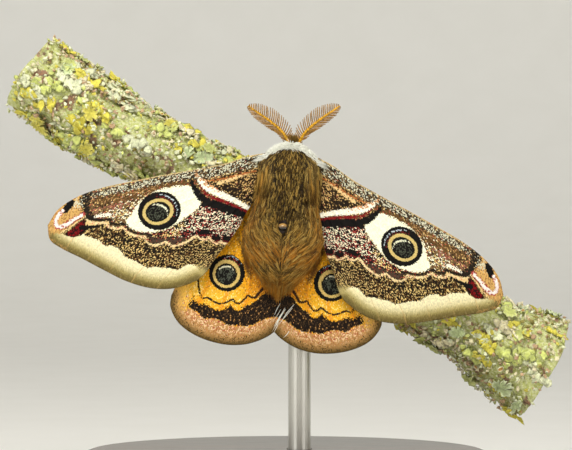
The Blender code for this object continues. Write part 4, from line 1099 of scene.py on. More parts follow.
LEG_SIDES = 14
HEEL = 0.62
CLAW_RINGS = 7
LEG_BROWN = (78, 54, 32)
LEG_TUFTS = 900


def bark_depth(x, z):
    """How deep the bark lies behind x and z of the moth's frame, in that frame."""
    place = to_stand(np.array([x, 0.0, z])) / MM
    front = branch_fine[:, :3] + TO_FRONT * branch_fine[:, 3:]
    away = np.array([place[0], 0.0, place[2]]) - front * [1.0, 0.0, 1.0]
    nearest = int(np.argmin(np.abs(np.sum(away * branch_ahead, axis=1))))
    across = float((place - branch_fine[nearest, :3]) @ branch_side[nearest])
    share, angle, reach = nearest / (len(branch_fine) - 1), 0.0, 1.0
    for _ in range(4):
        reach = branch_fine[nearest, 3] * (1 + bark_relief(share, angle))
        angle = math.asin(max(-0.95, min(0.95, across / reach)))
    surface, _, _ = on_branch(np.array(share), np.array(angle), 0.0)
    return float(surface[1] - MOTH_PLACE[1])


def leg(name, upper, feet, draw):
    grip = [(x, bark_depth(x, z) - FOOT_LIFT, z) for x, z in feet]
    line = smooth_line([(*p, r) for p, r in zip([*upper, *grip], LEG_RADII)], LEG_RINGS)
    share = np.linspace(0, 1, LEG_RINGS)
    foot = np.clip((share - HEEL) / 0.05, 0, 1)
    knots = 1 + foot * 0.22 * np.sin((share - HEEL) / (1 - HEEL) * 5 * 2 * np.pi)
    pinch = 1 - 0.22 * np.exp(-((share - 0.27) / 0.018) ** 2) - 0.3 * np.exp(-((share - HEEL) / 0.018) ** 2)
    radius = line[:, 3] * knots * pinch
    radius[0], radius[-1] = 0.6 * radius[0], 0.5 * radius[-1]
    ahead = unit(np.gradient(line[:, :3], axis=0))
    side = unit(np.cross(ahead, np.array([0.3, 0.2, 1.0])))
    up = np.cross(side, ahead)
    turn = np.linspace(0, 2 * np.pi, LEG_SIDES, endpoint=False)
    ring = (side[:, None] * np.cos(turn)[None, :, None] + up[:, None] * np.sin(turn)[None, :, None])
    tube = (line[:, None, :3] + ring * radius[:, None, None]).reshape(-1, 3)
    ends = end_caps(LEG_RINGS, LEG_SIDES)[:, ::-1]
    places, quads, caps, total = [tube], [net(LEG_RINGS, LEG_SIDES, wrap=True)[:, ::-1]], [], len(tube)
    for hook in (-1.0, 1.0):
        toe, forward, aside = line[-1, :3], ahead[-1], side[-1]
        claw = smooth_line([toe - 0.1 * forward, toe + 0.14 * forward + 0.1 * hook * aside - [0, 0.03, 0],
                            toe + 0.3 * forward + 0.15 * hook * aside + [0, 0.06, 0]], CLAW_RINGS)
        thick = np.linspace(0.065, 0.008, CLAW_RINGS)
        wheel = np.stack([np.cos(turn[::2]), np.sin(turn[::2])], axis=1)
        ring = claw[:, None] + (side[-1] * wheel[:, :1] + up[-1] * wheel[:, 1:])[None] * thick[:, None, None]
        many = len(wheel)
        quads.append(net(CLAW_RINGS, many, wrap=True)[:, ::-1] + total)
        caps.append(end_caps(CLAW_RINGS, many)[:, ::-1] + total)
        places.append(ring.reshape(-1, 3))
        total += CLAW_RINGS * many
    faces = [np.vstack(quads), ends, np.vstack(caps)]
    piece = as_piece(name + "_cuticle", to_stand(np.vstack(places)), faces, leg_finish)
    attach(piece, "root")
    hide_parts(name)
    at = draw.uniform(0.02, 1, LEG_TUFTS) ** 1.25 * (LEG_RINGS - 2)
    k = at.astype(int)
    around = draw.uniform(0, 2 * np.pi, LEG_TUFTS)
    out = side[k] * np.cos(around)[:, None] + up[k] * np.sin(around)[:, None]
    start = line[k, :3] + out * radius[k][:, None] * 0.8
    woolly = np.interp(at / LEG_RINGS, [0.0, 0.5, 0.66, 1.0], [1.0, 0.9, 0.35, 0.2])
    long = woolly * draw.uniform(0.7, 1.2, LEG_TUFTS)
    way = (ahead[k] * 0.8 + out * 0.32)[:, None]
    path = start[:, None] + way * long[:, None, None] * HAIR_STATIONS[None, :, None]
    tip = blend_tones(draw.uniform(0.05, 1, (LEG_TUFTS, 5)) * [0.7, 1.0, 0.7, 0.4, 0.1])
    patch = np.stack([at / LEG_RINGS * 0.9, around / (2 * np.pi) * 0.9], axis=1)
    # Roots are painted at 0.4 of the tip: partly the hair's darker base, partly painted shade under the hair.
    tufts(name + "_hair", path, 0.085 * draw.uniform(0.7, 1.2, LEG_TUFTS), out, tip * 0.4, tip, patch)


leg_finish = cuticle("leg_cuticle", LEG_BROWN, 0.5)
for seed, (name, (upper, feet)) in enumerate(LEGS.items()):
    leg(name, upper, feet, np.random.default_rng(60 + seed))

# The feelers: a golden-yellow shaft with a comb of slender brown rays on either side, longest in the middle
# of the comb, each fringed with fine hairs. The pair is rooted beside the crest on the head.
ANTENNA_PIVOT = np.array([0.19, 0.0, 5.74])
ANTENNA_SWING = math.radians(-5.5)
ANTENNA_SHAFT = [(0.45, 2.7, -1.0), (0.6, 1.9, -0.35), (0.95, 1.3, 0.4), (1.52, 0.9, 1.27), (2.87, 0.5, 2.49),
                 (4.35, 0.3, 3.54), (6.0, 0.3, 4.66)]
SHAFT_RADII = (0.2, 0.2, 0.19, 0.17, 0.14, 0.09)
RAYS = 25
RAY_OUTER = (1.85, math.radians(66))
RAY_INNER = (1.6, math.radians(44))
COMB = (0.2, 0.975)
RAY_HAIRS = 16
SHAFT_RINGS = 90
SHAFT_SIDES = 12
RAY_SIDES = 6
SHAFT_GOLD = (232, 172, 40)
RAY_BROWN = (178, 132, 64)


def rods(paths, radii, sides):
    """Thin tapering rods along many paths, as points and faces: paths is rods by stations by xyz."""
    many, stations = paths.shape[:2]
    ahead = unit(np.gradient(paths, axis=1))
    side = unit(np.cross(ahead, np.array([0.05, -1.0, 0.1])))
    up = np.cross(side, ahead)
    turn = np.linspace(0, 2 * np.pi, sides, endpoint=False)
    ring = side[:, :, None] * np.cos(turn)[:, None] + up[:, :, None] * np.sin(turn)[:, None]
    places = (paths[:, :, None] + ring * radii[:, :, None, None]).reshape(-1, 3)
    one = (net(stations, sides, wrap=True)[:, ::-1], end_caps(stations, sides)[:, ::-1])
    return places, *copied(one, many, stations * sides)


def feeler_finish(name, colour):
    material, tree, shader = new_finish(name, roughness=0.6, specular_ior_level=0.25)
    place = put(tree, "TexCoord").outputs["Object"]
    cloud = cloudy(tree, place, 3800.0, 3.0)
    darker = tint(*[0.66 * c for c in colour])
    tree.links.new(mixed(tree, ranged(tree, cloud, 0.35, 0.65), tint(*colour), darker),
                   shader.inputs["Base Color"])
    raised(tree, shader, cloud, 0.3, 0.00003)
    return material


def feeler(side, sign, finishes, draw):
    cos, sin = math.cos(ANTENNA_SWING), math.sin(ANTENNA_SWING)

    def swung(places):
        x, y, z = np.moveaxis(places * [sign, 1, 1], -1, 0)
        return to_stand(np.stack([x * cos + z * sin, y, z * cos - x * sin], axis=-1) + ANTENNA_PIVOT)

    line = smooth_line(ANTENNA_SHAFT, SHAFT_RINGS)
    share = np.linspace(0, 1, SHAFT_RINGS)
    thick = np.interp(share, np.linspace(0, 1, len(SHAFT_RADII)), SHAFT_RADII)
    joint = 1 + 0.1 * np.sin(share * RAYS * 2 * np.pi)
    places, *faces = rods(line[None], (thick * joint)[None], SHAFT_SIDES)
    if sign < 0:
        faces = [f[:, ::-1] for f in faces]
    shaft = as_piece("feeler_shaft_" + side, swung(places), faces, finishes[0])
    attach(shaft, "root")
    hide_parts("antenna_" + side)
    at = np.linspace(*COMB, RAYS)
    root = np.stack([np.interp(at, share, line[:, k]) for k in range(3)], axis=1)
    ahead = unit(np.stack([np.interp(at, share, np.gradient(line[:, k])) for k in range(3)], axis=1))
    across = unit(np.cross(ahead, np.array([0.0, 1.0, 0.0])))
    full = np.sin(np.pi * (0.2 + 0.77 * (at - COMB[0]) / (COMB[1] - COMB[0]))) ** 0.7
    paths = []
    for way, (reach, lean) in ((1, RAY_OUTER), (-1, RAY_INNER)):
        lean = lean * draw.uniform(0.96, 1.04, (RAYS, 1))
        first = ahead * np.cos(lean) + across * way * np.sin(lean)
        last = ahead * np.cos(0.72 * lean) + across * way * np.sin(0.72 * lean) + [0, 0.16, 0]
        long = (reach * full * draw.uniform(0.96, 1.03, RAYS))[:, None]
        knots = np.array([0.0, 0.33, 0.66, 1.0])
        paths.append(np.stack([root + first * long * k * (1 - k / 2) + last * long * k * k / 2
                               for k in knots], axis=1))
    paths = np.concatenate(paths)
    radii = np.array([0.085, 0.078, 0.07, 0.04])[None] * np.ones((len(paths), 1))
    places, body, ends = rods(paths, radii, RAY_SIDES)
    hair_at = np.linspace(0.06, 0.97, RAY_HAIRS)
    spine = np.interp(hair_at, np.linspace(0, 1, 4), [0, 1, 2, 3])
    low = np.minimum(spine.astype(int), 2)
    part = (spine - low)[:, None]
    seats = paths[:, low] * (1 - part) + paths[:, low + 1] * part
    along = unit(paths[:, -1] - paths[:, 0])[:, None] * np.ones((1, RAY_HAIRS, 1))
    sideways = unit(np.cross(along, np.array([0.0, 1.0, 0.0])))
    lashes = []
    for way in (-1.0, 1.0):
        long = draw.uniform(0.09, 0.13, seats.shape[:2])[..., None]
        tip = seats + (sideways * way * 0.8 + along * 0.55 + [0, -0.12, 0]) * long
        lashes.append(np.stack([seats, tip], axis=2).reshape(-1, 2, 3))
    lashes = np.concatenate(lashes)
    hairs, hair_body, hair_ends = rods(lashes, np.tile([0.013, 0.004], (len(lashes), 1)), 3)
    total = len(places)
    faces = [np.vstack([body, hair_body + total]), ends, hair_ends + total]
    if sign < 0:
        faces = [f[:, ::-1] for f in faces]
    comb = as_piece("feeler_comb_" + side, swung(np.vstack([places, hairs])), faces, finishes[1])
    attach(comb, "root")


feeler_finishes = (feeler_finish("feeler_gold", SHAFT_GOLD), feeler_finish("feeler_brown", RAY_BROWN))
for side, sign in (("left", -1), ("right", 1)):
    feeler(side, sign, feeler_finishes, np.random.default_rng(70 + sign))

# The forewings: a stiff membrane on raised veins, covered above and below with powdery scales that carry the
# pattern. Each marking is laid over those below it, its edge broken up scale by scale. Right side, in
# millimetres, from the root outwards and from the front edge back.
WING_THICK = 0.16
WING_DROOP = (0.05, 0.0014, 3.0)
FOREWING = {
    "root": [(3.4, 3.9), (3.4, 1.2), (3.4, -1.8)],
    "lead": [(3.4, 3.9), (5.5, 3.2), (8.5, 1.7), (12.5, 0.2), (16.5, -1.2), (20.5, -2.7), (24.0, -4.1),
             (27.0, -5.8), (29.2, -7.8), (30.3, -10.1)],
    "edge": [(30.3, -10.1), (29.7, -11.9), (28.0, -12.8), (25.0, -13.7), (22.0, -14.7), (19.0, -15.6),
             (16.0, -16.0), (13.5, -15.8), (11.5, -15.1), (9.6, -14.0)],
    "trail": [(3.4, -1.8), (4.3, -3.2), (4.9, -4.7), (5.5, -6.5), (6.4, -8.4), (7.6, -10.5), (8.5, -12.5),
              (9.6, -14.0)],
}
FOREWING_SWING = {"left": math.radians(3.9), "right": math.radians(3.3)}
FOREWING_PIVOT = (3.4, 1.5)
FOREWING_CURL = 0.9
FOREWING_VEINS = (0.06, 0.19, 0.33, 0.47, 0.61, 0.76, 0.9)
FOREWING_GRID = (184, 106)
SCALE_LENGTH = 0.165
SCALE_WIDTH = 0.115
BROWN = (108, 82, 50)
DARK = (32, 24, 16)
BLACK = (13, 10, 8)
CREAM = (255, 251, 218)
STRAW = (222, 192, 122)
BLUSH = (176, 86, 66)
CRIMSON = (124, 18, 22)
SNOW = (250, 240, 206)
ASH = (208, 206, 180)
OLIVE_EDGE = (98, 84, 44)
UNDERSIDE_DUST = (196, 176, 148)
EDGE_STEPS = 240
RIM_STEPS = 60


def wing_net(outline, grid):
    """Points of a wing's flat outline patch: rows run from root to outer edge, columns from front to back."""
    s, t = np.meshgrid(np.linspace(0, 1, grid[0]), np.linspace(0, 1, grid[1]), indexing="ij")
    lines = {key: smooth_line(points, EDGE_STEPS) for key, points in outline.items()}

    def read(key, share):
        at = share * (EDGE_STEPS - 1)
        return np.stack([np.interp(at, np.arange(EDGE_STEPS), lines[key][:, k]) for k in (0, 1)], axis=-1)

    s3, t3 = s[..., None], t[..., None]
    root, edge = lines["root"], lines["edge"]
    corners = ((1 - s3) * (1 - t3) * root[0] + (1 - s3) * t3 * root[-1] + s3 * (1 - t3) * edge[0]
               + s3 * t3 * edge[-1])
    flat = ((1 - t3) * read("lead", s) + t3 * read("trail", s)
            + (1 - s3) * read("root", t) + s3 * read("edge", t) - corners)
    return flat, s, t


def droop(x):
    out = np.maximum(0.0, x - WING_DROOP[2])
    return WING_DROOP[0] * out + WING_DROOP[1] * out ** 2


def off_line(flat, line, closed=False):
    """The distance of each point from a line of points, and how far along the line its nearest place is."""
    ends = np.roll(line, -1, axis=0) if closed else line[1:]
    starts = line if closed else line[:-1]
    best = np.full(flat.shape[:-1], 1e9)
    along = np.zeros(flat.shape[:-1])
    for k, (a, b) in enumerate(zip(starts, ends)):
        step = b - a
        share = np.clip(((flat - a) @ step) / max(step @ step, 1e-9), 0, 1)
        away = np.linalg.norm(flat - a - share[..., None] * step, axis=-1)
        nearer = away < best
        best = np.where(nearer, away, best)
        along = np.where(nearer, (k + share) / len(starts), along)
    return best, along


def stroke(flat, points, *half_widths, smooth=True):
    """Signed distance from a stroke along a line, below 0 inside; its half width runs through those given."""
    line = smooth_line(points, 6 * len(points)) if smooth else np.array(points, float)
    away, along = off_line(flat, line)
    return away - np.interp(along, np.linspace(0, 1, len(half_widths)), half_widths)


def field(flat, points, smooth=False):
    """Signed distance from a closed outline, below 0 inside."""
    ring = smooth_line([*points, points[0]], 5 * len(points))[:-1] if smooth else np.array(points, float)
    away, _ = off_line(flat, ring, closed=True)
    after = np.roll(ring, -1, axis=0)
    inside = np.zeros(flat.shape[:-1], bool)
    for a, b in zip(ring, after):
        crosses = (a[1] > flat[..., 1]) != (b[1] > flat[..., 1])
        at = a[0] + (flat[..., 1] - a[1]) * (b[0] - a[0]) / (b[1] - a[1] if b[1] != a[1] else 1e-9)
        inside ^= crosses & (flat[..., 0] < at)
    return np.where(inside, -away, away)


def oval(flat, centre, long, short, tilt=0.0):
    """Signed distance from an oval, near enough, below 0 inside."""
    x, z = flat[..., 0] - centre[0], flat[..., 1] - centre[1]
    a, b = x * math.cos(tilt) + z * math.sin(tilt), z * math.cos(tilt) - x * math.sin(tilt)
    return (np.hypot(a / long, b / short) - 1) * min(long, short)


def marking_group():
    """Lays a colour over another inside a marking with a ragged edge; it may be only dusted on."""
    group = bpy.data.node_groups.new("marking", "ShaderNodeTree")
    for name in ("Under", "Colour", "Reach", "Grain", "Ragged", "Soft", "Cover", "Shuffle", "Speckle"):
        kind = "Color" if name in ("Under", "Colour") else "Float"
        group.interface.new_socket(name=name, in_out="INPUT", socket_type="NodeSocket" + kind)
    group.interface.new_socket(name="Colour", in_out="OUTPUT", socket_type="NodeSocketColor")
    given = group.nodes.new("NodeGroupInput").outputs
    shaken = maths(group, "MULTIPLY", maths(group, "SUBTRACT", given["Grain"], 0.5), given["Ragged"])
    depth = maths(group, "DIVIDE", maths(group, "ADD", given["Reach"], shaken), given["Soft"])
    present = maths(group, "SUBTRACT", 0.5, depth, clamp=True)
    dice = maths(group, "FRACT", maths(group, "MULTIPLY", given["Grain"], given["Shuffle"]))
    odds = maths(group, "MULTIPLY", maths(group, "MULTIPLY", present, given["Cover"]), 1.03)
    speckled = ranged(group, maths(group, "SUBTRACT", odds, dice), 0.0, 0.03)
    fleck = put(group, "Mix", {0: given["Speckle"], 2: odds, 3: speckled}).outputs[0]
    colour = mixed(group, fleck, given["Under"], given["Colour"])
    result = group.nodes.new("NodeGroupOutput")
    group.links.new(colour, result.inputs[0])
    return group


def scales_group():
    """The wing's scales: a random number for each, and the height of its rounded tip over the next ones."""
    group = bpy.data.node_groups.new("scales", "ShaderNodeTree")
    for name in ("Grain", "Shade", "Height"):
        group.interface.new_socket(name=name, in_out="OUTPUT", socket_type="NodeSocketFloat")
    place = put(group, "UVMap", uv_map="scales").outputs[0]
    many = (1 / SCALE_LENGTH, 1 / SCALE_WIDTH, 1.0)
    sized = put(group, "Mapping", {"Vector": place, "Scale": many}).outputs[0]
    cells = {"Vector": sized, "Scale": 1.0, "Randomness": 0.9}
    cell = put(group, "TexVoronoi", cells, voronoi_dimensions="2D")
    parts = put(group, "SeparateColor", {0: cell.outputs["Color"]}).outputs
    patches = {"Vector": sized, "Scale": 0.35, "Detail": 2.0}
    cloud = put(group, "TexNoise", patches, noise_dimensions="2D").outputs[0]
    shade = maths(group, "ADD", maths(group, "MULTIPLY", parts[1], 0.6), maths(group, "MULTIPLY", cloud, 0.4))
    height = maths(group, "SUBTRACT", maths(group, "MULTIPLY", parts[2], 0.5), cell.outputs["Distance"])
    result = group.nodes.new("NodeGroupOutput")
    for name, value in (("Grain", parts[0]), ("Shade", shade), ("Height", height)):
        group.links.new(value, result.inputs[name])
    return group


marking = marking_group()
scales = scales_group()
SMOOTH_MARKS = ("margin_far", "margin_near", "margin_edge", "margin_vein", "tan_margin", "olive_margin",
                "glow", "deep", "stripe", "orange_lines")


def scaled_wing(name, ground, marks, pale=0.0):
    """The finish of one wing face: its ground colour and every marking; pale fades it for an underside."""
    material, tree, shader = new_finish(name, roughness=0.75, specular_ior_level=0.15)
    dust = tree.nodes.new("ShaderNodeGroup")
    dust.node_tree = scales
    colour = put(tree, "RGB").outputs[0]
    colour.default_value = tint(*ground)
    for k, (mark, _, paint, ragged, soft, cover) in enumerate(marks):
        layer = tree.nodes.new("ShaderNodeGroup")
        layer.node_tree = marking
        reach = put(tree, "Attribute", attribute_name=mark.split("+")[0]).outputs["Fac"]
        tree.links.new(reach, layer.inputs["Reach"])
        tree.links.new(colour, layer.inputs["Under"])
        tree.links.new(dust.outputs["Grain"], layer.inputs["Grain"])
        speckle = 0.0 if mark in SMOOTH_MARKS else 1.0
        for socket, value in (("Colour", tint(*paint)), ("Ragged", ragged), ("Soft", soft), ("Cover", cover),
                              ("Shuffle", 37.0 + 13.7 * k), ("Speckle", speckle)):
            layer.inputs[socket].default_value = value
        colour = layer.outputs[0]
    if pale:
        colour = mixed(tree, pale, colour, tint(*UNDERSIDE_DUST))
    spread = ranged(tree, dust.outputs["Shade"], 0.2, 0.8, 0.8, 1.1)
    shaded = put(tree, "VectorMath", {0: colour, 1: spread}, operation="MULTIPLY")
    tree.links.new(shaded.outputs[0], shader.inputs["Base Color"])
    raised(tree, shader, dust.outputs["Height"], 0.1, 0.00003)
    return material


def off_veins(flat, t, veins):
    """The distance of each point of a wing from its nearest vein."""
    chord = np.linalg.norm(np.diff(flat, axis=1), axis=-1).sum(axis=1)[:, None]
    return np.min([np.abs(t - v) for v in veins], axis=0) * chord


def run(flat, axis):
    """How far each point of a wing is from the first of its column, for axis 0, or of its row, for 1."""
    steps = np.linalg.norm(np.diff(flat, axis=axis), axis=-1)
    return np.insert(np.cumsum(steps, axis=axis), 0, 0.0, axis=axis)


def wing(name, flat, depth, s, t, veins, sign, swing, marks, faces_of):
    """One wing: its patch bent to depth, raised along the veins and thickened, with its marks' distances."""
    grid = flat.shape[:2]
    ridge = 0.1 * np.exp(-(off_veins(flat, t, veins) / 0.13) ** 2) * np.clip(1.4 - s, 0.35, 1)
    crinkle = 0.05 * np.sin(t * 60 + 5 * np.sin(s * 9)) * np.exp(-s * 3)
    deep = depth - ridge + crinkle
    pivot = np.array(FOREWING_PIVOT)
    x, z = np.moveaxis(flat - pivot, -1, 0)
    turn = swing * sign
    x, z = x * math.cos(turn) + z * math.sin(turn), z * math.cos(turn) - x * math.sin(turn)
    places = to_stand(np.stack([(x + pivot[0]) * sign, deep, z + pivot[1]], axis=-1).reshape(-1, 3))
    quads = net(*grid)
    piece = as_piece(name, places, [quads if sign > 0 else quads[:, ::-1]], faces_of[0])
    piece.data.materials.append(faces_of[1])
    for mark, reach, *_ in marks:
        if "+" not in mark:
            note(piece, mark, reach.ravel())
    along, over = run(flat, 0), run(flat, 1)
    over = over - over[:, grid[1] // 3][:, None]
    lay_flat(piece, "scales", np.stack([along.ravel(), over.ravel()], axis=1))
    shell = piece.modifiers.new("membrane", "SOLIDIFY")
    shell.thickness = WING_THICK * MM
    shell.offset = -1.0
    shell.material_offset = 1
    bpy.ops.object.select_all(action="DESELECT")
    piece.select_set(True)
    bpy.context.view_layer.objects.active = piece
    bpy.ops.object.modifier_apply(modifier="membrane")
    bpy.ops.object.select_all(action="DESELECT")
    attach(piece, "root")
    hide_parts(name.replace("_scaled", ""))


flat, s, t = wing_net(FOREWING, FOREWING_GRID)
OUTSIDE = [(8.6, -18.0), (34.0, -18.0), (34.0, -10.6)]
MARGIN = [(34.0, -10.6), (27.9, -11.0), (26.7, -11.1), (25.8, -10.8), (25.35, -10.4), (24.9, -10.65),
          (24.0, -10.8), (23.1, -10.95), (22.5, -11.4), (22.0, -11.55), (21.5, -11.3), (20.6, -11.5),
          (20.0, -12.0), (19.4, -12.55), (19.0, -12.6), (17.8, -12.9), (17.0, -13.25), (16.2, -13.5),
          (15.5, -13.15), (14.3, -13.05), (13.2, -13.0), (12.35, -13.1), (11.7, -12.6), (11.2, -12.15),
          (10.5, -12.0), (10.0, -12.2), (9.7, -12.5), (9.4, -12.95), (9.0, -13.6), (8.2, -14.6)]
CREAM_LINE = [(25.7, -7.9), (25.1, -8.6), (24.0, -8.8), (22.9, -8.5), (22.5, -8.8), (22.0, -9.05),
              (20.9, -9.0), (20.5, -8.7), (20.1, -8.9), (19.5, -9.35), (18.7, -9.55), (17.3, -9.45),
              (17.1, -10.0), (16.6, -10.3), (15.8, -10.4), (15.1, -10.1), (14.5, -9.65), (14.0, -9.95),
              (13.5, -10.1), (12.6, -9.75), (11.7, -9.2), (11.1, -8.6), (10.5, -8.25), (10.1, -8.6),
              (9.35, -8.55), (9.0, -8.1), (8.6, -8.5), (8.0, -8.8), (7.5, -8.5), (7.0, -8.65), (6.2, -8.6)]
EYE_TILT = math.radians(-24)
rim_reach = off_line(flat, smooth_line(FOREWING["edge"], RIM_STEPS))[0]
vein_reach = off_veins(flat, t, FOREWING_VEINS)
medial = field(flat, [(3.9, -4.3), (7.6, -4.0), (10.2, -3.7), (11.3, -4.2), (11.0, -5.2), (12.4, -6.3),
                      (13.8, -7.5), (15.2, -8.4), (16.9, -9.0), (17.2, -9.9), (16.0, -10.3), (15.1, -10.0),
                      (14.4, -9.6), (12.8, -9.6), (11.3, -8.5), (10.2, -8.4), (7.5, -8.5), (5.2, -8.6),
                      (4.0, -6.5)])
in_margin = field(flat, [*MARGIN, *OUTSIDE])
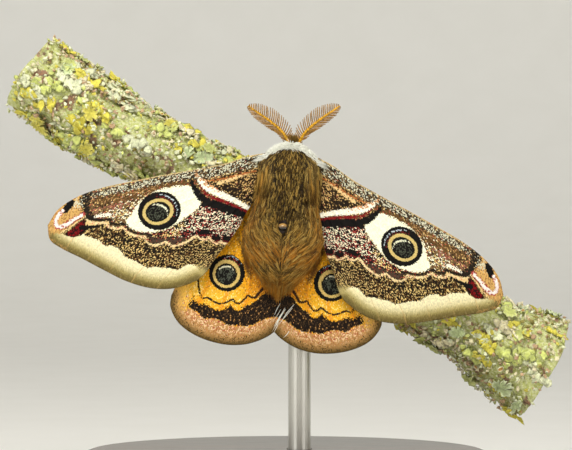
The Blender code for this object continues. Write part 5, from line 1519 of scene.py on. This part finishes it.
forewing_marks = [
    # name, signed distance, colour, raggedness and softness of the edge in millimetres, share covered
    ("everywhere", -np.ones(s.shape), DARK, 0.1, 0.1, 0.36),
    ("everywhere+cream", None, STRAW, 0.1, 0.1, 0.17),
    ("everywhere+blush", None, BLUSH, 0.1, 0.1, 0.09),
    ("front_brown", stroke(flat, [(24, -5.9), (20, -4.4), (17, -3), (14, -1.9), (12.6, -1.2)], 0.4, 0.8, 0.9,
     0.7), (96, 68, 34), 0.5, 0.8, 0.7),
    ("front_tan", stroke(flat, [(26, -6.6), (22, -5), (19, -3.7), (16.5, -2.7)], 0.15, 0.25, 0.2),
     (176, 136, 84), 0.4, 0.5, 0.3),
    ("front_grey", stroke(flat, [(26.5, -5.9), (22, -4), (17, -2), (12.5, -0.3), (9, 0.9), (6, 2.2),
     (3.6, 2.8)], 0.3, 0.4, 0.45, 0.55, 0.75, 0.8, 0.9), (50, 43, 34), 0.3, 0.35, 0.85),
    ("front_grey+brown", None, (118, 92, 58), 0.3, 0.35, 0.2),
    ("front_grey+ash", None, ASH, 0.3, 0.35, 0.36),
    ("front_edge", stroke(flat, FOREWING["lead"], 0.16, 0.14), (196, 172, 124), 0.1, 0.15, 0.85),
    ("root_dark", field(flat, [(3, 2.4), (6.5, 0.9), (9.6, -0.6), (10.8, -1.4), (8.4, -2.1), (6.1, -2.7),
     (4.4, -3.1), (3, -2.5)]), (48, 34, 18), 0.3, 0.3, 0.85),
    ("root_dark+tan", None, (204, 166, 104), 0.3, 0.3, 0.3),
    ("root_shade", field(flat, [(4, -1.6), (7, -1), (10.4, -1), (10.9, -1.5), (8, -2.1), (5.6, -2.7),
     (4, -3.1)]), (30, 22, 12), 0.5, 0.5, 0.6),
    ("root_vein", stroke(flat, [(9, -1.05), (7.1, 0), (5.2, 0.9)], 0.26, 0.2, 0.1), (230, 196, 138), 0.25,
     0.2, 0.8),
    ("root_orange", stroke(flat, [(11.2, -1.2), (8.9, -0.5), (6.6, 0.45), (4.4, 1.4)], 0.12, 0.1),
     (176, 104, 52), 0.15, 0.1, 0.8),
    ("middle", medial, (22, 17, 14), 0.3, 0.25, 1),
    ("middle+blush", None, (164, 60, 52), 0.3, 0.25, 0.2),
    ("middle_white", field(flat, [(3.9, -4.3), (8, -4.2), (11, -4.6), (12.2, -6.4), (13.6, -8.2), (11, -8),
     (8, -7.8), (4.5, -7.6)]), SNOW, 1.6, 1.4, 0.31),
    ("middle_tan", field(flat, [(12.6, -6.6), (14.6, -8.3), (16.8, -9.2), (16.6, -9.9), (14.6, -9.4),
     (12.6, -8.4)]), STRAW, 0.8, 0.6, 0.26),
    ("middle_ash", field(flat, [(17.1, -9.3), (16.2, -10.2), (15.1, -10), (14.4, -9.6), (13.4, -9.9),
     (11.8, -9.1), (12.2, -8.7), (14.2, -9.2), (15.8, -9.3)]), (74, 56, 44), 0.3, 0.3, 0.8),
    ("patch_tail", field(flat, [(17.6, -3.9), (19.8, -5), (22.6, -6.8), (22.4, -7.8), (20, -8.15),
     (17.6, -8.9), (17, -6)]), CREAM, 1.2, 1.1, 0.24),
    ("pink_dust", field(flat, [(19.6, -4.9), (24.6, -6.9), (24.8, -7.6), (21, -6.6)]), (160, 104, 88), 0.5,
     0.5, 0.3),
    ("patch", field(flat, [(19.9, -7.5), (19.3, -6.3), (18.8, -5.2), (18.1, -4.3), (16.8, -3.35),
     (15.4, -2.65), (13.7, -2.15), (12.5, -1.95), (11.8, -2.35), (11.2, -3.1), (10.8, -3.8), (11.1, -4.7),
     (12.3, -6), (13.5, -7.2), (14.8, -8.1), (16.1, -8.65), (17.8, -8.95), (19.4, -8.7), (20.1, -8.2)],
     smooth=True), CREAM, 0.22, 0.2, 1),
    ("small_white", stroke(flat, [(24.3, -8), (23.4, -7.65), (22.3, -7.35)], 0.14, 0.24, 0.18),
     (250, 240, 220), 0.2, 0.15, 0.9),
    ("dark_band", field(flat, [*CREAM_LINE, (5.4, -9.4), (7.4, -13.8), *MARGIN[:0:-1], (28.3, -10.9),
     (27, -9.7), (26, -9)]), (28, 20, 11), 0.2, 0.15, 1),
    ("dark_band+straw", None, STRAW, 0.2, 0.15, 0.25),
    ("dark_band+brown", None, (118, 84, 44), 0.2, 0.15, 0.18),
    ("band_shade", stroke(flat, [(22.5, -9.6), (19.6, -10.3), (17, -11.2), (14.6, -10.9), (12.6, -10.7),
     (10.6, -9.6), (8.2, -9.8)], 0.25, 0.4, 0.35, 0.5), (20, 15, 9), 0.8, 0.6, 0.45),
    ("apex_cream", field(flat, [(25.6, -9.3), (25, -8.5), (23.9, -8.55), (22.3, -8.15), (22, -8.6),
     (22.9, -8.75), (23.8, -9.05), (24.7, -9.35)]), (226, 192, 132), 0.12, 0.1, 0.95),
    ("cream_line", stroke(flat, CREAM_LINE, 0.12, 0.15, 0.15, 0.13, 0.15, 0.14, 0.16, 0.18, smooth=False),
     (234, 210, 158), 0.14, 0.1, 0.92),
    ("cream_line+pink", None, (206, 130, 106), 0.2, 0.12, 0.16),
    ("zigzag", stroke(flat, [(25.8, -7.3), (24.9, -8.35), (23.5, -8.3), (22.2, -8), (22.05, -8.5), (21, -8.5),
     (20.05, -8.25), (19.6, -8.8), (18.9, -9.15), (17.8, -9.2), (16.9, -9)], 0.2, 0.17, 0.14, 0.15,
     smooth=False), (30, 22, 15), 0.14, 0.12, 0.95),
    ("smear", field(flat, [(25, -4.3), (26.4, -5.2), (26.7, -6.3), (26.2, -7.3), (25.3, -8.3), (24.4, -8.1),
     (25.1, -7.2), (25.2, -6)], smooth=True), (34, 28, 20), 0.6, 0.5, 0.8),
    ("lobe_outer", oval(flat, (9.75, -7.65), 0.8, 0.4, math.radians(-15)), BLACK, 0.2, 0.15, 0.95),
    ("lobe_middle", oval(flat, (8.05, -8.1), 0.62, 0.42), BLACK, 0.2, 0.15, 0.95),
    ("lobe_inner", oval(flat, (6.65, -8), 0.66, 0.38), BLACK, 0.2, 0.15, 0.95),
    ("lobe_red", stroke(flat, [(10.4, -8.1), (9.2, -7.9), (8.2, -8.55), (7.3, -8.35), (6.4, -8.4)], 0.09,
     0.09), CRIMSON, 0.15, 0.12, 0.6),
    ("black_band", stroke(flat, [(12.5, -1.2), (12, -2.1), (11.2, -2.95), (10.4, -3.45), (9.3, -3.75),
     (7.6, -4), (5.9, -4.25), (4.4, -4.6)], 0.2, 0.4, 0.52, 0.55, 0.55, 0.55, 0.5), BLACK, 0.25, 0.12, 0.97),
    ("red_line", stroke(flat, [(11.4, -1.4), (11, -2), (10.5, -2.5), (9.9, -2.85), (8.3, -3.15), (6.6, -3.5),
     (4.6, -4.05)], 0.1, 0.15, 0.17, 0.17, 0.15), CRIMSON, 0.25, 0.12, 0.92),
    ("white_band", stroke(flat, [(11.4, -0.95), (10.5, -1.7), (9.5, -2.1), (8.4, -2.4), (7.2, -2.68),
     (6.1, -3), (4.6, -3.55)], 0.36, 0.42, 0.4, 0.36, 0.33, 0.28), (250, 244, 224), 0.22, 0.12, 1),
    ("white_band_rose", stroke(flat, [(12, -0.2), (11.5, -0.75), (10.6, -1.35), (9.6, -1.7), (8.4, -2.1)],
     0.2, 0.25, 0.14), (204, 150, 100), 0.35, 0.3, 0.6),
    ("margin", in_margin, (248, 238, 194), 0.16, 0.12, 1),
    # Towards the rim the margin fades from cream through tan to olive: partly the wing's own darker border,
    # partly painted shade where the edge curls down.
    ("margin_far", rim_reach - 1.6, (206, 190, 126), 0.2, 1.4, 1),
    ("margin_near", rim_reach - 1.1, (142, 126, 70), 0.2, 1.1, 0.95),
    ("margin_edge", rim_reach - 0.55, OLIVE_EDGE, 0.2, 0.9, 0.9),
    ("margin_edge+dust", None, (134, 118, 72), 0.2, 1.6, 0.3),
    ("margin_vein", np.maximum(vein_reach - 0.07, in_margin), (206, 168, 104), 0.05, 0.14, 0.5),
    ("apex_tan", field(flat, [(31, -11.2), (28.6, -10.9), (27.6, -9.9), (26.4, -8.7), (26, -7.6),
     (26.6, -6.6), (26.6, -5.2), (30.6, -7.8)]), (212, 168, 98), 0.35, 0.4, 0.95),
    ("apex_tan+dust", None, (158, 112, 62), 0.35, 0.4, 0.22),
    ("apex_rim", np.maximum(rim_reach - 0.25, 0) + np.maximum(27.0 - flat[..., 0], 0), (168, 132, 74), 0.3,
     0.5, 0.8),
    ("apex_dust", field(flat, [(28, -7.4), (26.2, -7.2), (26.3, -6), (27.6, -6.3)]), ASH, 0.4, 0.4, 0.45),
    ("apex_black", field(flat, [(28.7, -7.9), (28.35, -7), (27.5, -6.2), (27.2, -6.7), (27.7, -7.6),
     (28.3, -8.3)], smooth=True), BLACK, 0.15, 0.1, 1),
    ("hook_red", stroke(flat, [(28.6, -7.9), (29.15, -8.7), (29.25, -9.6), (28.95, -10.1), (28.35, -10),
     (27.6, -9.4), (26.8, -8.7), (25.8, -7.95)], 0.28, 0.32, 0.34, 0.32), (168, 60, 56), 0.18, 0.1, 0.8),
    ("hook_white", stroke(flat, [(28.6, -7.9), (29.15, -8.7), (29.25, -9.6), (28.95, -10.05), (28.35, -9.95),
     (27.6, -9.4), (26.8, -8.7), (25.9, -7.95)], 0.22, 0.24, 0.25, 0.22, 0.18), (248, 234, 228), 0.14, 0.08,
     0.92),
    ("hook_line", stroke(flat, [(28.3, -10.75), (27.2, -9.75), (26.2, -8.8), (25.6, -8.1)], 0.1, 0.09),
     (236, 200, 140), 0.1, 0.08, 0.95),
    ("apex_red", field(flat, [(28, -10.95), (26.9, -9.95), (26, -8.95), (25.45, -8.5), (25.35, -9.3),
     (25, -9.75), (25.6, -10.45), (26.7, -11.1)]), (26, 8, 7), 0.15, 0.1, 1),
    ("apex_red+glow", None, (122, 10, 12), 0.15, 0.1, 0.42),
    ("wedge", stroke(flat, [(25.8, -9.75), (24.7, -9.45), (23.8, -9.15), (22.9, -8.8)], 0.32, 0.26, 0.16,
     0.06), BLACK, 0.14, 0.12, 0.95),
    ("eye_black", oval(flat, (15.98, -5.82), 2.84, 2.5, EYE_TILT), BLACK, 0.1, 0.08, 1),
    ("eye_arc_red", stroke(flat, [(16.6, -4), (15.7, -4), (14.9, -4.3), (14.3, -4.85), (14, -5.6),
     (14, -6.2)], 0.12, 0.16, 0.12), (112, 24, 26), 0.15, 0.1, 0.55),
    ("eye_arc", stroke(flat, [(16.4, -3.72), (15.6, -3.72), (14.7, -4), (14.05, -4.6), (13.72, -5.3),
     (13.7, -6)], 0.05, 0.09, 0.08), (196, 206, 214), 0.14, 0.08, 0.5),
    ("eye_tan", oval(flat, (16.14, -5.95), 2.06, 1.7, EYE_TILT), (206, 182, 112), 0.08, 0.06, 1),
    ("eye_ring", oval(flat, (16.16, -5.98), 1.64, 1.3, EYE_TILT), BLACK, 0.08, 0.06, 1),
    ("eye_pupil", oval(flat, (16.2, -6.1), 1.34, 0.98, EYE_TILT), (72, 76, 62), 0.1, 0.1, 0.34),
    ("eye_crescent", stroke(flat, [(17.1, -5.3), (16.5, -5.05), (15.9, -5.1), (15.3, -5.3), (14.95, -5.7),
     (14.9, -6.3)], 0.05, 0.1, 0.12, 0.06), (226, 226, 196), 0.1, 0.08, 0.9),
]
depth = droop(flat[..., 0]) + FOREWING_CURL * np.maximum(0, (s - 0.8) / 0.2) ** 2 \
    * (1 - 0.75 * np.maximum(0, (t - 0.5) / 0.5)) - 0.35 * np.sin(np.pi * t) * np.sin(np.pi * s)
forewing_faces = (scaled_wing("forewing_above", BROWN, forewing_marks),
                  scaled_wing("forewing_below", BROWN, forewing_marks, pale=0.3))
for side, sign in (("left", -1), ("right", 1)):
    wing("forewing_" + side + "_scaled", flat, depth, s, t, FOREWING_VEINS, sign, FOREWING_SWING[side],
         forewing_marks, forewing_faces)

# The hindwings: built like the forewings and orange above, each with a round eyespot, a thin wavy line, a
# broad dark band and a tan margin. Their front halves lie under the forewings.
HINDWING = {
    "root": [(3.9, -2.3), (3.1, -3.2), (2.3, -3.9)],
    "lead": [(3.9, -2.3), (6.4, -4.7), (9.6, -7.8), (12.3, -11.6), (13.95, -15.9)],
    "edge": [(13.95, -15.9), (13.9, -17.4), (12.9, -19.1), (11.3, -20.3), (9.0, -21.2), (6.3, -21.6),
             (4.0, -21.4), (2.2, -20.8), (0.8, -20.0), (-0.03, -19.3)],
    "trail": [(2.3, -3.9), (2.2, -6.5), (1.4, -9.5), (0.25, -12.5), (-0.03, -14.3), (-0.03, -19.3)],
}
HINDWING_DEPTH = 1.5
HINDWING_CURL = 0.8
HINDWING_VEINS = (0.12, 0.31, 0.5, 0.69, 0.88)
HINDWING_GRID = (128, 98)
AMBER = (244, 172, 28)
AMBER_LIGHT = (240, 190, 56)
AMBER_DEEP = (220, 134, 30)
ROSE = (198, 148, 90)

flat, s, t = wing_net(HINDWING, HINDWING_GRID)
BAND_IN = [(11.0, -15.5), (10.75, -16.3), (10.2, -16.6), (9.0, -16.65), (8.5, -16.95), (7.9, -17.2),
           (7.2, -17.2), (6.6, -16.85), (6.05, -16.35), (5.6, -16.8), (5.0, -17.05), (4.5, -16.6),
           (3.9, -16.1), (3.3, -15.8), (2.7, -15.4), (2.2, -14.7), (1.6, -14.2), (0.3, -14.4)]
BAND_OUT = [(11.8, -17.2), (11.0, -17.5), (10.3, -17.7), (9.9, -18.1), (9.4, -18.6), (8.6, -18.4),
            (7.7, -18.4), (7.1, -18.6), (6.3, -19.05), (5.4, -19.0), (4.3, -19.0), (3.5, -18.95),
            (2.6, -18.55), (1.9, -18.05), (0.9, -17.6), (-0.6, -17.2)]
rim_reach = off_line(flat, smooth_line(HINDWING["edge"], RIM_STEPS))[0]
vein_reach = off_veins(flat, t, HINDWING_VEINS)
outer_zone = [*BAND_OUT, (-2.0, -24.0), (18.0, -24.0), (18.0, -14.0), (12.2, -14.2), (11.4, -15.8)]
hindwing_marks = [
    ("amber_dust", 0 * flat[..., 0] - 2, (190, 124, 44), 0.2, 0.2, 0.15),
    ("amber_dust+light", None, (255, 214, 110), 0.2, 0.2, 0.1),
    ("glow", field(flat, [(13.5, -13.5), (10.8, -15.4), (8, -16.4), (4.6, -16), (5, -14.4), (9.4, -14.6),
     (10.5, -11)]), AMBER_LIGHT, 1.4, 1.2, 0.75),
    ("glow+specks", None, (255, 232, 150), 1.4, 1.2, 0.16),
    ("deep", field(flat, [(1, -4), (3.6, -4.6), (4.4, -8), (4, -12), (2.8, -15), (0.4, -15)]), AMBER_DEEP,
     1.6, 1.4, 0.7),
    ("deep+dust", None, (164, 104, 44), 1.6, 1.4, 0.24),
    ("orange_lines", np.maximum(vein_reach - 0.2, flat[..., 1] + 12.8), (222, 132, 26), 0.3, 0.3, 0.6),
    ("wavy", stroke(flat, [(10.55, -13.4), (10.5, -14.1), (10.2, -15.1), (9.85, -15.85), (9.1, -15.65),
     (8.4, -16.05), (7.5, -16.35), (6.6, -16.05), (5.85, -15.55), (5.3, -16), (4.9, -16), (4.3, -15.4),
     (3.9, -14.85), (3.4, -15.05), (2.9, -15.05), (2.4, -14.3), (1.7, -13.4)], 0.13, 0.12, 0.13, 0.18,
     smooth=False), (52, 32, 20), 0.1, 0.1, 1),
    ("band", field(flat, [*BAND_IN, *BAND_OUT[::-1]]), (26, 17, 9), 0.3, 0.15, 1),
    ("band+amber", None, (190, 140, 78), 0.3, 0.15, 0.06),
    ("band+ash", None, (78, 56, 32), 0.3, 0.15, 0.16),
    ("rosy", field(flat, outer_zone), ROSE, 0.3, 0.2, 1),
    ("rosy+white", None, (242, 208, 164), 0.3, 0.2, 0.32),
    ("rosy+red", None, (186, 96, 66), 0.3, 0.2, 0.2),
    ("corner", field(flat, [(11.9, -17), (11.2, -15.4), (11.8, -12), (16, -13), (16, -18), (13.2, -18.4)]),
     (246, 194, 84), 1.2, 0.9, 0.95),
    ("tan_margin", rim_reach - 1.35, (192, 146, 86), 0.2, 0.9, 0.85),
    # The olive edge: partly the wing's own border colour, partly painted shade where the edge curls down.
    ("olive_margin", rim_reach - 0.6, (94, 76, 34), 0.2, 1, 0.95),
    ("olive_margin+dust", None, (92, 70, 38), 0.2, 1.4, 0.4),
    ("stripe", stroke(flat, [(5.9, -6.9), (5.6, -7.9), (5, -9.1), (4.65, -10.1), (4.35, -11.2), (3.9, -12.1)],
     0.12, 0.2, 0.22, 0.35, 0.5, 0.3), (92, 58, 28), 0.3, 0.5, 0.9),
    ("eye_black", oval(flat, (6.9, -12.2), 2.36, 2.42), BLACK, 0.12, 0.1, 1),
    ("eye_arc_red", stroke(flat, [(7.6, -10.45), (6.7, -10.2), (5.9, -10.5), (5.35, -11.05)], 0.08, 0.12,
     0.1), (134, 34, 34), 0.15, 0.1, 0.7),
    ("eye_arc", stroke(flat, [(7.4, -10.25), (6.6, -10.02), (5.75, -10.3), (5.2, -10.85)], 0.05, 0.08, 0.06),
     (196, 206, 214), 0.14, 0.08, 0.5),
    ("eye_tan", oval(flat, (6.95, -12.3), 1.82, 1.86), (214, 184, 108), 0.1, 0.08, 1),
    ("eye_ring", oval(flat, (6.98, -12.38), 1.42, 1.42), BLACK, 0.1, 0.08, 1),
    ("eye_pupil", oval(flat, (7, -12.45), 1.2, 1.15), (76, 80, 68), 0.1, 0.1, 0.4),
    ("eye_crescent", stroke(flat, [(7.95, -11.75), (7.25, -11.4), (6.6, -11.35), (6.1, -11.75)], 0.06, 0.11,
     0.12, 0.06), (226, 220, 188), 0.1, 0.08, 0.9),
]
depth = HINDWING_DEPTH + droop(flat[..., 0]) + HINDWING_CURL * np.maximum(0, (s - 0.8) / 0.2) ** 2 - 0.2 * t
hindwing_faces = (scaled_wing("hindwing_above", AMBER, hindwing_marks),
                  scaled_wing("hindwing_below", AMBER, hindwing_marks, pale=0.45))
for side, sign in (("left", -1), ("right", 1)):
    wing("hindwing_" + side + "_scaled", flat, depth, s, t, HINDWING_VEINS, sign, 0.0, hindwing_marks,
         hindwing_faces)

# The room: a round pale floor that curves up on every side, a wide soft light overhead, a weaker one from
# each side and four that wash the walls.
DISH = [(0.02, 0.0), (0.3, 0.0), (0.6, 0.0), (0.8, 0.025), (0.93, 0.1), (0.99, 0.25), (1.0, 0.5), (1.0, 0.8)]
DISH_RINGS = 40
DISH_SIDES = 96
PAPER_LIGHT = (238, 237, 233)
PAPER_DARK = (232, 231, 226)
profile = smooth_line(DISH, DISH_RINGS)
turn = np.linspace(0, 2 * np.pi, DISH_SIDES, endpoint=False)
reach = profile[:, :1]
places = np.stack([reach * np.cos(turn), reach * np.sin(turn), profile[:, 1:] + 0 * turn], axis=-1)
paper, tree, shader = new_finish("studio_paper", roughness=0.95)
grain = cloudy(tree, put(tree, "TexCoord").outputs["Object"], 60.0, 4.0)
tree.links.new(mixed(tree, grain, tint(*PAPER_DARK), tint(*PAPER_LIGHT)), shader.inputs["Base Color"])
floor = as_piece("studio_floor", places.reshape(-1, 3),
                 [net(DISH_RINGS, DISH_SIDES, wrap=True)[:, ::-1], np.arange(DISH_SIDES)[None]], paper)


def soft_light(name, place, aim, size, power, colour):
    lamp = bpy.data.lights.new(name, "AREA")
    lamp.shape = "DISK"
    lamp.size = size
    lamp.energy = power
    lamp.color = colour
    held = bpy.data.objects.new(name, lamp)
    bpy.context.scene.collection.objects.link(held)
    held.location = place
    held.rotation_euler = (Vector(aim) - Vector(place)).to_track_quat("-Z", "Y").to_euler()


MIDDLE = (0.0, -0.008, 0.035)
soft_light("overhead", (-0.05, -0.28, 0.42), MIDDLE, 0.3, 2.0, (1.0, 0.98, 0.93))
soft_light("left_fill", (-0.45, -0.35, 0.12), MIDDLE, 0.4, 0.6, (0.99, 0.99, 0.96))
soft_light("right_fill", (0.45, -0.35, 0.15), MIDDLE, 0.4, 0.5, (1.0, 0.98, 0.95))
for name, x, y in (("wash_back", 0, 1), ("wash_front", 0, -1), ("wash_left", -1, 0), ("wash_right", 1, 0)):
    soft_light(name, (0.5 * x, 0.5 * y, 0.95), (1.5 * x, 1.5 * y, 0.55), 0.3, 2.2, (1.0, 0.995, 0.98))
world = bpy.data.worlds.new("soft_room")
bpy.context.scene.world = world
world.use_nodes = True
world.node_tree.nodes["Background"].inputs["Color"].default_value = (1.0, 0.98, 0.93, 1.0)
world.node_tree.nodes["Background"].inputs["Strength"].default_value = 0.3
bpy.context.scene.view_settings.view_transform = "Standard"

# The camera: level with the moth and square to its wings, where the photograph was taken from. Its view is as
# wide as the photograph is in the plane of the wings.
SENSOR = 36.0
WING_PLANE = 0.38
PICTURE_WIDTH = 0.07465
camera_data = bpy.data.cameras.new("camera")
camera_data.sensor_width = SENSOR
camera_data.lens = SENSOR * WING_PLANE / PICTURE_WIDTH
camera_data.clip_start = 0.01
camera = bpy.data.objects.new("camera", camera_data)
bpy.context.scene.collection.objects.link(camera)
camera.location = (0.0, -0.008 - WING_PLANE, 0.035)
camera.rotation_euler = (math.radians(90), 0.0, 0.0)
bpy.context.scene.camera = camera
